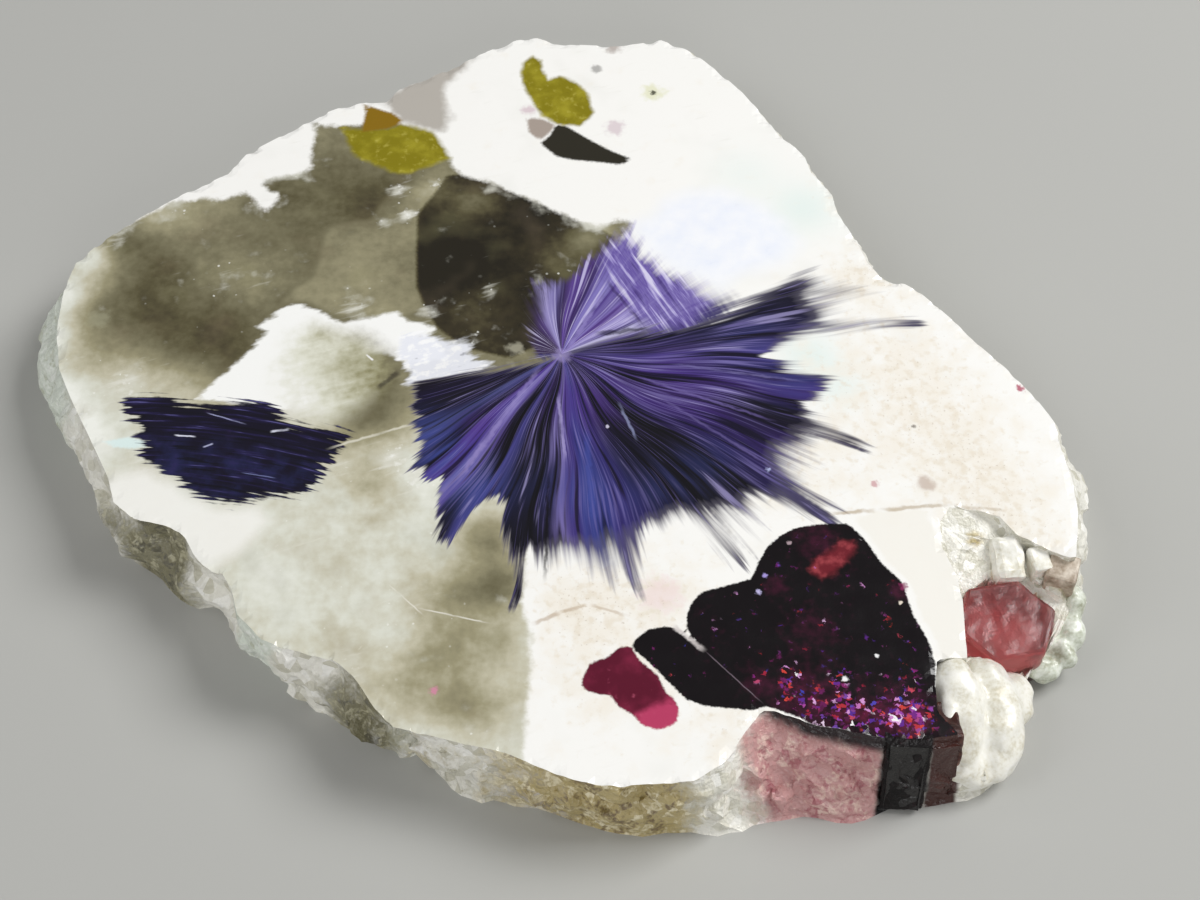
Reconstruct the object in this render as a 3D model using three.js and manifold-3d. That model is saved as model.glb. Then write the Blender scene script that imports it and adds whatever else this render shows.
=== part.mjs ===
// A palm-sized slab of pegmatite, sawn flat below and polished flat above, with broken walls all
// round. It grew as one piece, so it is one solid. Millimetres, +Z up, the sawn back on z = 0, the
// middle of the slab's box over the origin. The side that faces -Y is the front.

import * as THREE from 'three';
import { ConvexGeometry } from 'three/addons/geometries/ConvexGeometry.js';
import { LoftGeometry } from 'three/addons/geometries/LoftGeometry.js';
import { SimplexNoise } from 'three/addons/math/SimplexNoise.js';
import { mergeVertices } from 'three/addons/utils/BufferGeometryUtils.js';
import Module from 'manifold-3d';

// Driving dimensions
const THICKNESS = 10;
const HUB = [ 2, - 3 ];          // every wall is measured outwards from here
const BEARINGS = 272;            // wall columns, about 1.3 mm apart
const LEVELS = [ 0, 0.09, 0.2, 0.32, 0.44, 0.56, 0.68, 0.79, 0.9, 0.965, 1 ];

// Broken walls: cleavage blocks with a step between them, under lumps and grit
const BLOCK_SIZE = 5;
const BLOCK_STEP = 1.1;
const BLOCK_TILT = 0.32;
const LUMP_SIZE = 9;
const LUMP_HEIGHT = 0.8;
const GRIT_SIZE = 2.6;
const GRIT_HEIGHT = 0.35;
const BELLY = 0.5;               // how far the walls swell at half height
const SAWN_SHARE = 0.45;         // how much of the roughness the sawn edge keeps
const CRISPNESS = 6;             // how late the roughness fades on the way up to the polished edge
const SAW_REACH = 200;           // wider than the slab

// The polished edge at the top, anticlockwise from the right-hand side
const POLISHED_EDGE = [
	[ 56.8, - 12.5 ], [ 57, - 10 ], [ 55.9, - 7.5 ], [ 54.5, - 4.7 ], [ 52.1, - 1.2 ], [ 49.4, 2.3 ],
	[ 47.1, 5.8 ], [ 43.8, 10 ], [ 42.3, 11.4 ], [ 39.6, 12.1 ], [ 38.2, 14.5 ], [ 36.5, 19.4 ],
	[ 34.9, 23.6 ], [ 34.4, 27.1 ], [ 32.3, 29.9 ], [ 31.5, 33.5 ], [ 28.6, 36.8 ], [ 27, 40.3 ],
	[ 24.4, 44.7 ], [ 20.8, 49.6 ], [ 17.7, 52.9 ], [ 14.2, 54.8 ], [ 10.8, 54 ], [ 8.1, 53.6 ],
	[ 3.5, 53.9 ], [ 0.4, 54.1 ], [ - 2.1, 55.3 ], [ - 5, 54.7 ], [ - 9.6, 51.9 ], [ - 12.7, 49.4 ],
	[ - 16.2, 47.3 ], [ - 19.2, 45.8 ], [ - 21.3, 42.5 ], [ - 23.1, 43.1 ], [ - 27.7, 41.5 ],
	[ - 32.5, 37.7 ], [ - 37.7, 33.5 ], [ - 39.8, 29.8 ], [ - 41.4, 28.7 ], [ - 45, 26.2 ],
	[ - 50.2, 21.7 ], [ - 53.8, 17.9 ], [ - 56, 14.9 ], [ - 56.7, 10.5 ], [ - 56.5, 4 ],
	[ - 55.3, - 1.5 ], [ - 53.2, - 6 ],
	[ - 50, - 12 ], [ - 47.3, - 17.2 ], [ - 46.2, - 20.6 ], [ - 43.5, - 22.8 ], [ - 40, - 23.5 ],
	[ - 38.1, - 24.8 ], [ - 36.8, - 27.2 ], [ - 35.2, - 29.2 ], [ - 33.5, - 29.7 ], [ - 32.2, - 31.8 ],
	[ - 31.4, - 34.7 ], [ - 28.5, - 37.9 ], [ - 26, - 39 ], [ - 20.8, - 40.4 ], [ - 18.5, - 42.6 ],
	[ - 16.4, - 46 ], [ - 14.3, - 48.2 ], [ - 11.5, - 48.9 ], [ - 7.7, - 50 ], [ - 3.3, - 51 ],
	[ - 1, - 52.1 ], [ 3.8, - 54.2 ], [ 7.7, - 54.8 ], [ 15.5, - 54.2 ], [ 18.8, - 51.8 ],
	[ 20.4, - 49 ], [ 22.6, - 46 ], [ 27.1, - 47.7 ], [ 32.5, - 49 ], [ 37.1, - 49.5 ], [ 41.5, - 49.2 ],
	[ 45.5, - 47.4 ], [ 49.5, - 43.5 ], [ 53.5, - 36.5 ], [ 56.2, - 29 ], [ 57.6, - 22 ], [ 57.6, - 16.5 ],
];

// The foot of the walls at the sawn back, anticlockwise from the right-hand side
const FOOT_EDGE = [
	[ 60.9, - 13.5 ], [ 58.8, - 8.5 ], [ 56.4, - 3.5 ], [ 53, 1.5 ], [ 48.8, 7.4 ], [ 45.3, 11.6 ],
	[ 41.5, 13.5 ], [ 39.5, 18 ], [ 37.3, 24 ], [ 34.3, 31 ], [ 30.8, 37 ], [ 27.3, 43 ], [ 22.6, 49.3 ],
	[ 16.6, 54 ], [ 9, 54.6 ], [ 2, 55 ], [ - 5, 55 ], [ - 11, 51.4 ], [ - 19, 46.4 ], [ - 26, 43.4 ],
	[ - 33.5, 38.4 ], [ - 40, 31.6 ], [ - 47, 26 ], [ - 53.6, 19.4 ], [ - 57, 15.4 ], [ - 58.6, 11.4 ],
	[ - 59.2, 7 ], [ - 58.6, 2 ], [ - 56.6, - 3 ], [ - 53.4, - 8 ], [ - 50.4, - 12.5 ], [ - 48.7, - 17 ],
	[ - 46, - 20.8 ], [ - 42.6, - 23.6 ], [ - 40.6, - 26.2 ], [ - 37.5, - 27.7 ], [ - 35.2, - 26.8 ],
	[ - 34.1, - 28.5 ], [ - 32.6, - 31.6 ], [ - 29.5, - 35.2 ], [ - 26, - 38.2 ], [ - 22.5, - 41.2 ],
	[ - 18, - 44.2 ], [ - 13.4, - 45.9 ], [ - 12, - 45.6 ], [ - 11.2, - 47.8 ], [ - 8.6, - 49.9 ],
	[ - 4.5, - 51.2 ], [ - 0.5, - 51.8 ], [ 3, - 53.6 ], [ 6.5, - 55.1 ], [ 10, - 55.4 ], [ 13, - 54.5 ],
	[ 18, - 54.8 ], [ 23, - 53.6 ], [ 27.5, - 52.6 ], [ 31, - 53.4 ], [ 34, - 53 ], [ 37, - 51.9 ],
	[ 40, - 51.7 ], [ 43, - 51 ], [ 46.3, - 49.2 ], [ 48.8, - 46.4 ], [ 49.8, - 43.5 ], [ 48.9, - 39.4 ],
	[ 49.6, - 36.8 ], [ 53.4, - 34.2 ], [ 57, - 30.5 ], [ 57.8, - 27.8 ], [ 59.3, - 24.3 ], [ 60.3, - 20.4 ],
	[ 60.8, - 17 ],
];

// Stretches of wall where a lower ledge stands out below the polished face: bearings in degrees,
// and the height fraction at which the wall steps back
const LEDGE_SLOPE = 0.16;
const LEDGE_RUN_OUT = 4;
const LEDGES = [
	{ from: 199, to: 214, step: 0.5 },
	{ from: 152, to: 192, step: 0.82 },
	{ from: 231, to: 250, step: 0.72 },
];

// The broken front right corner: its outline, and a floor that falls to the front and to the right
// until it levels out
const POCKET = [
	[ 44, - 20.8 ], [ 42.6, - 23 ], [ 42.5, - 26.5 ], [ 43.6, - 30 ], [ 43.9, - 33 ], [ 43.7, - 37 ],
	[ 43.6, - 40 ], [ 40.5, - 40.2 ], [ 40, - 43.5 ], [ 39.9, - 46.5 ], [ 41.6, - 48.8 ], [ 42, - 56 ],
	[ 66, - 56 ], [ 66, - 28.5 ], [ 57.8, - 27.4 ], [ 55.9, - 27.7 ], [ 53.6, - 26.5 ],
	[ 50.5, - 24.6 ], [ 49, - 22.3 ], [ 46.7, - 21.5 ],
];
const POCKET_START = [ 50, - 22, 9 ];
const POCKET_FALL = [ - 0.1, 0.37 ];
const POCKET_LOWEST = 1.4;

// The red crystal that stands in the pocket: a six-sided prism, a little narrower at its foot
const RED_CRYSTAL = {
	at: [ 48.7, - 33, 3.9 ], radii: [ 5.2, 4.7 ], foot: 0.94, height: 6.2, lean: 3, turn: 12,
};

// The black block in the front wall, and the maroon face beside it
const BLACK_BLOCK = { at: [ 36.9, - 47.9, 4.5 ], size: [ 3.8, 7.4, 9.4 ], lean: - 13, turn: - 3 };
const MAROON_BLOCK = { at: [ 40.1, - 47.2, 4.2 ], size: [ 3.2, 7, 8.8 ], lean: - 8, turn: 8 };

// White feldspar columns that run down the front right corner, from their top to their foot
const KNOB_SIZE = 3;
const KNOB_SHARE = 0.12;
const COLUMNS = [
	{ from: [ 42.6, - 42.8, 6.6 ], to: [ 43.4, - 48, 2.2 ], radius: 3.1 },
	{ from: [ 45.8, - 39.4, 3.6 ], to: [ 46.5, - 45.8, 2.2 ], radius: 3.2 },
];

// Grown chunks with flat faces, on the walls and in the pocket: their middle, half sizes, a turn
// in degrees and the number of corners that each is drawn over
const CORNER_SHARE = [ 0.86, 1.06 ];
const CHUNKS = [
	// white and brown blocks under the edge of the pocket
	{ at: [ 49.7, - 25.7, 6.7 ], size: [ 2.3, 3.2, 2.6 ], turn: 10, corners: 22 },
	{ at: [ 52.7, - 27.4, 6.3 ], size: [ 1.5, 2.3, 2.3 ], turn: 15, corners: 16 },
	{ at: [ 55.3, - 28.4, 5.2 ], size: [ 2.2, 2.4, 3.6 ], turn: - 20, corners: 18 },
	{ at: [ 45.7, - 24.6, 6.7 ], size: [ 2.6, 2.4, 2.2 ], turn: 40, corners: 16 },
	{ at: [ 45, - 28.2, 5.2 ], size: [ 2.2, 2.6, 2.4 ], turn: 0, corners: 16 },
	{ at: [ 52.6, - 31, 4 ], size: [ 2.4, 2.2, 2.2 ], turn: 0, corners: 16 },
	// knobs down the right-hand rim of the pocket
	{ at: [ 57, - 28.9, 3.6 ], size: [ 1.9, 1.8, 3 ], turn: 0, corners: 18 },
	{ at: [ 55.9, - 31.6, 2.9 ], size: [ 2, 2.1, 2.6 ], turn: 35, corners: 18 },
	{ at: [ 54.2, - 34, 2.3 ], size: [ 1.9, 1.9, 2.3 ], turn: 70, corners: 18 },
	// pink crystals bedded in the front wall
	{ at: [ 32.2, - 47.6, 5.8 ], size: [ 4.2, 3.6, 4 ], turn: 8, corners: 20 },
	{ at: [ 32.2, - 49.6, 2.2 ], size: [ 3.6, 4, 4 ], turn: 30, corners: 20 },
	{ at: [ 27.4, - 47.2, 5.4 ], size: [ 3.6, 3.4, 4 ], turn: 50, corners: 20 },
	{ at: [ 23.4, - 47.4, 5.2 ], size: [ 3.4, 3.4, 4.2 ], turn: 75, corners: 20 },
	{ at: [ 28, - 49.7, 2.2 ], size: [ 3, 3.2, 2.8 ], turn: 20, corners: 16 },
	{ at: [ 24.4, - 50.8, 1.9 ], size: [ 2.8, 2.4, 2.4 ], turn: 60, corners: 14 },
	{ at: [ 20.6, - 50.4, 3.8 ], size: [ 2.8, 2.8, 3.4 ], turn: 10, corners: 18 },
	{ at: [ 18, - 52.8, 2 ], size: [ 2.6, 2.2, 2.6 ], turn: 45, corners: 16 },
	// ochre knobs under the white edge of the front wall
	{ at: [ 12, - 53.2, 4.6 ], size: [ 3.4, 2.2, 3 ], turn: 0, corners: 18 },
	{ at: [ 7.4, - 53.2, 2.8 ], size: [ 3.8, 2.4, 3 ], turn: 25, corners: 18 },
	{ at: [ 2.2, - 51.4, 4.4 ], size: [ 3.2, 2.3, 3 ], turn: 50, corners: 18 },
	// the quartz ledge at the front, a little under the polished face
	{ at: [ - 8, - 48.4, 6 ], size: [ 5.2, 2.9, 3.2 ], turn: - 12, corners: 22 },
	{ at: [ - 13.4, - 45.6, 5 ], size: [ 3, 2.9, 4 ], turn: 30, corners: 20 },
];

// Seeded random numbers, the same on every run
function seededRandom( seed ) {

	const range = 2 ** 32;
	let state = seed;

	return () => {

		state = ( Math.imul( state, 1664525 ) + 1013904223 ) >>> 0;
		return state / range;

	};

}

const relief = new SimplexNoise( { random: seededRandom( 11 ) } );
const lattice = new SimplexNoise( { random: seededRandom( 29 ) } );
const strew = seededRandom( 47 );

// How far the closed outline lies from the hub in the direction of a bearing
function reach( outline, bearing ) {

	const ray = [ Math.cos( bearing ), Math.sin( bearing ) ];
	let far = 0;

	outline.forEach( ( start, i ) => {

		const end = outline[ ( i + 1 ) % outline.length ];
		const from = [ start[ 0 ] - HUB[ 0 ], start[ 1 ] - HUB[ 1 ] ];
		const along = [ end[ 0 ] - start[ 0 ], end[ 1 ] - start[ 1 ] ];
		const cross = ray[ 0 ] * along[ 1 ] - ray[ 1 ] * along[ 0 ];
		const distance = ( from[ 0 ] * along[ 1 ] - from[ 1 ] * along[ 0 ] ) / cross;
		const share = ( from[ 0 ] * ray[ 1 ] - from[ 1 ] * ray[ 0 ] ) / cross;

		if ( share >= 0 && share <= 1 && distance > far ) far = distance;

	} );

	return far;

}

// A number from 0 to 1 that belongs to one cell of the lattice and to one use of it
const CELL_STRIDE = new THREE.Vector3( 3.7, 5.3, 7.1 );
const USE_STRIDE = 40;

function dice( cell, use ) {

	const spot = cell.clone().multiply( CELL_STRIDE );

	return 0.5 + 0.5 * lattice.noise3d( spot.x + use * USE_STRIDE, spot.y, spot.z );

}

// Cleavage blocks: the nearest cell of a jittered lattice gives one flat, tilted facet
function cleavage( point ) {

	const home = point.clone().divideScalar( BLOCK_SIZE ).floor();
	const neighbours = [ - 1, 0, 1 ];
	let nearest = Infinity;
	let height = 0;

	for ( const i of neighbours ) for ( const j of neighbours ) for ( const k of neighbours ) {

		const cell = home.clone().add( new THREE.Vector3( i, j, k ) );
		const seed = cell.clone().add( new THREE.Vector3( dice( cell, 0 ), dice( cell, 1 ), dice( cell, 2 ) ) );
		const offset = point.clone().sub( seed.multiplyScalar( BLOCK_SIZE ) );
		const step = BLOCK_STEP * ( 2 * dice( cell, 3 ) - 1 );
		const tilt = BLOCK_TILT * ( 2 * dice( cell, 4 ) - 1 );

		if ( offset.length() < nearest ) {

			nearest = offset.length();
			height = step + tilt * ( offset.x + offset.z );

		}

	}

	return height;

}

// Everything that roughens a wall at one point
function roughness( point ) {

	const lump = relief.noise3d( point.x / LUMP_SIZE, point.y / LUMP_SIZE, point.z / LUMP_SIZE );
	const grit = relief.noise3d( point.z / GRIT_SIZE, point.x / GRIT_SIZE, point.y / GRIT_SIZE );

	return cleavage( point ) + LUMP_HEIGHT * lump + GRIT_HEIGHT * grit;

}

// How much of the way from foot to polished edge the wall has gone at a height fraction
function lean( degrees, height ) {

	const ledge = LEDGES.find( ( stretch ) => degrees > stretch.from && degrees < stretch.to );

	if ( ! ledge ) return height;

	const step = THREE.MathUtils.smoothstep( height, ledge.step - LEDGE_SLOPE, ledge.step + LEDGE_SLOPE );
	const fromEnd = Math.min( degrees - ledge.from, ledge.to - degrees );

	return THREE.MathUtils.lerp( height, step, Math.min( 1, fromEnd / LEDGE_RUN_OUT ) );

}

// One ring of the wall at a height fraction. The polished edge stays crisp.
function wallRing( height ) {

	const sawn = THREE.MathUtils.lerp( SAWN_SHARE, 1, Math.min( 1, 4 * height ) );
	const fade = ( 1 - height ** CRISPNESS ) * sawn;
	const ring = [];

	for ( let i = 0; i < BEARINGS; i ++ ) {

		const bearing = i / BEARINGS * 2 * Math.PI;
		const out = new THREE.Vector3( Math.cos( bearing ), Math.sin( bearing ), 0 );
		const foot = reach( FOOT_EDGE, bearing );
		const top = reach( POLISHED_EDGE, bearing );
		const distance = THREE.MathUtils.lerp( foot, top, lean( i / BEARINGS * 360, height ) );
		const point = new THREE.Vector3( HUB[ 0 ], HUB[ 1 ], height * THICKNESS ).addScaledVector( out, distance );
		const swell = BELLY * Math.sin( height * Math.PI );

		ring.push( point.addScaledVector( out, roughness( point ) * fade + swell ) );

	}

	return ring;

}

// The slab between its polished face and its sawn back
function slabGeometry() {

	return new LoftGeometry( LEVELS.map( wallRing ), { capStart: true, capEnd: true } );

}

// What the broken corner takes away: everything over its sloping floor
function pocketGeometry() {

	const floorAt = ( x, y ) => Math.max( POCKET_LOWEST, POCKET_START[ 2 ]
		+ POCKET_FALL[ 0 ] * ( x - POCKET_START[ 0 ] ) + POCKET_FALL[ 1 ] * ( y - POCKET_START[ 1 ] ) );
	const floor = POCKET.map( ( [ x, y ] ) => new THREE.Vector3( x, y, floorAt( x, y ) ) );
	const lid = POCKET.map( ( [ x, y ] ) => new THREE.Vector3( x, y, 1.5 * THICKNESS ) );

	return new LoftGeometry( [ floor, lid ], { capStart: true, capEnd: true } );

}

// Turns a shape about X and then about Z, in degrees, and sets it at its place
function place( geometry, { at, lean = 0, turn = 0 } ) {

	geometry.rotateX( THREE.MathUtils.degToRad( lean ) );
	geometry.rotateZ( THREE.MathUtils.degToRad( turn ) );
	geometry.translate( ...at );

	return geometry;

}

function redCrystalGeometry() {

	const { radii, foot, height } = RED_CRYSTAL;
	const prism = new THREE.CylinderGeometry( 1, foot, height, 6 ).rotateX( Math.PI / 2 );

	return place( prism.scale( ...radii, 1 ), RED_CRYSTAL );

}

function blockGeometry( block ) {

	return place( new THREE.BoxGeometry( ...block.size ), block );

}

// A knobbly round column
function columnGeometry( { from, to, radius } ) {

	const start = new THREE.Vector3( ...from );
	const along = new THREE.Vector3( ...to ).sub( start );
	const upright = new THREE.Vector3( 0, 1, 0 );
	const column = new THREE.CapsuleGeometry( radius, along.length(), 4, 10, 3 );

	column.applyQuaternion( new THREE.Quaternion().setFromUnitVectors( upright, along.clone().normalize() ) );

	const corners = column.attributes.position;
	const corner = new THREE.Vector3();

	for ( let i = 0; i < corners.count; i ++ ) {

		corner.fromBufferAttribute( corners, i );
		const spot = corner.clone().divideScalar( KNOB_SIZE );
		corner.multiplyScalar( 1 + KNOB_SHARE * relief.noise3d( spot.x + from[ 0 ], spot.y, spot.z ) );
		corners.setXYZ( i, corner.x, corner.y, corner.z );

	}

	return column.translate( ...start.addScaledVector( along, 0.5 ).toArray() );

}

// A chunk is the hull over corners strewn on an egg, so its faces are flat and its edges sharp
function chunkGeometry( chunk ) {

	const hull = [];

	for ( let i = 0; i < chunk.corners; i ++ ) {

		const corner = new THREE.Vector3( strew() - 0.5, strew() - 0.5, strew() - 0.5 ).normalize();
		const share = THREE.MathUtils.lerp( ...CORNER_SHARE, strew() );
		hull.push( corner.multiplyScalar( share ).multiply( new THREE.Vector3( ...chunk.size ) ) );

	}

	return place( new ConvexGeometry( hull ), chunk );

}

// Everything over the sawn back
function aboveTheSaw() {

	return new THREE.BoxGeometry( 1, 1, 1 ).translate( 0, 0, 0.5 ).scale( SAW_REACH, SAW_REACH, SAW_REACH );

}

// Joins and cuts
const wasm = await Module();
wasm.setup();

function solid( geometry ) {

	const bare = new THREE.BufferGeometry().copy( geometry );
	bare.deleteAttribute( 'normal' );
	bare.deleteAttribute( 'uv' );

	const merged = mergeVertices( bare );

	return new wasm.Manifold( new wasm.Mesh( {
		numProp: 3,
		vertProperties: merged.attributes.position.array,
		triVerts: new Uint32Array( merged.index.array ),
	} ) );

}

const grown = [
	redCrystalGeometry(),
	blockGeometry( BLACK_BLOCK ),
	blockGeometry( MAROON_BLOCK ),
	...COLUMNS.map( columnGeometry ),
	...CHUNKS.map( chunkGeometry ),
];

let slab = solid( slabGeometry() ).subtract( solid( pocketGeometry() ) );
for ( const geometry of grown ) slab = slab.add( solid( geometry ) );
slab = slab.intersect( solid( aboveTheSaw() ) );

// The joined solid as a mesh, with the middle of its box over the origin
function sliceGeometry() {

	const { vertProperties, triVerts } = slab.getMesh();
	const geometry = new THREE.BufferGeometry();

	geometry.setAttribute( 'position', new THREE.BufferAttribute( vertProperties, 3 ) );
	geometry.setIndex( new THREE.BufferAttribute( triVerts, 1 ) );
	geometry.computeBoundingBox();

	const middle = geometry.boundingBox.getCenter( new THREE.Vector3() );
	geometry.translate( - middle.x, - middle.y, 0 );
	geometry.computeVertexNormals();

	return geometry;

}

const stone = new THREE.MeshStandardMaterial( { color: 0xe9e6dc, roughness: 0.4, metalness: 0 } );
const slice = new THREE.Mesh( sliceGeometry(), stone );
slice.name = 'slice';

const specimen = new THREE.Group();
specimen.add( slice );

export default specimen;
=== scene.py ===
import math

import bmesh
import bpy
import numpy as np
from mathutils import Matrix, Vector, kdtree, noise


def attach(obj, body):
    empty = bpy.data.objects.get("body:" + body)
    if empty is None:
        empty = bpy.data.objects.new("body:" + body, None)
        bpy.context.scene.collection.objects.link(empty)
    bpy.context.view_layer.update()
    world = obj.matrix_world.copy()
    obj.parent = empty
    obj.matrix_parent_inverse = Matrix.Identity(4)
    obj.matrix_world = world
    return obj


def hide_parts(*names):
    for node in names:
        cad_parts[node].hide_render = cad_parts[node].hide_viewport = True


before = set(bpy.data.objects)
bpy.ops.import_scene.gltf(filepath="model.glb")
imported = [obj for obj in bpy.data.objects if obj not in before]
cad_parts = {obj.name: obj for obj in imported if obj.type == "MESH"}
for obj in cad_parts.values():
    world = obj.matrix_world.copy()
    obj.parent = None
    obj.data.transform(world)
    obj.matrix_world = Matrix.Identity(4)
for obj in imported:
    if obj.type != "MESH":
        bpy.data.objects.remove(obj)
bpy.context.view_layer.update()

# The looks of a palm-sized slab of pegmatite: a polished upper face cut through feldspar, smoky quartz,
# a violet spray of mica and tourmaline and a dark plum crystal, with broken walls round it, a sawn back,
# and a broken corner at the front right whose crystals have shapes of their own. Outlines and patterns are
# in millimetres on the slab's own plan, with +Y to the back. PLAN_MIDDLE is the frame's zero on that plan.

MM = 0.001
PLAN_MIDDLE = (0.423, 0.346)
THICKNESS = 10.0
QUARTZ_IOR, TOURMALINE_IOR = 1.54, 1.62

# The mesh of the slab: cells of its face in mm, how far before a whole cell the cuts lie, as a share of one,
# how near a plane a point counts as on it, mm, and how near two points count as one, in metres
FACE_STEP, CUT_SHIFT = 0.68, 0.31
ON_PLANE = 0.02
SAME_POINT, SAME_CUT = 1e-6, 1e-7
# The broken walls: cuts in each edge, and the size and depth of their grains and of the grit on them, mm
WALL_CUTS = 2
GRAIN_SIZE, GRAIN_DEPTH = 1.7, 0.3
GRIT_SIZE, GRIT_DEPTH = 0.55, 0.14
# The worn rim: the size and depth of its chips and how far in they reach, mm, and a lift to the noise, so
# that more than half of the rim is chipped. The relief of the walls eases off over RIM_EASE below the face.
CHIP_SIZE, CHIP_DEPTH, CHIP_WIDTH = 1.5, 0.5, 0.8
CHIP_LIFT = 0.15
RIM_EASE = 1.0
# Under the crystals of the corner the walls sink towards a level, mm, to a share of their height over it
SINK_TO = 1.6
SUNKEN_SHARE = 0.3

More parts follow.
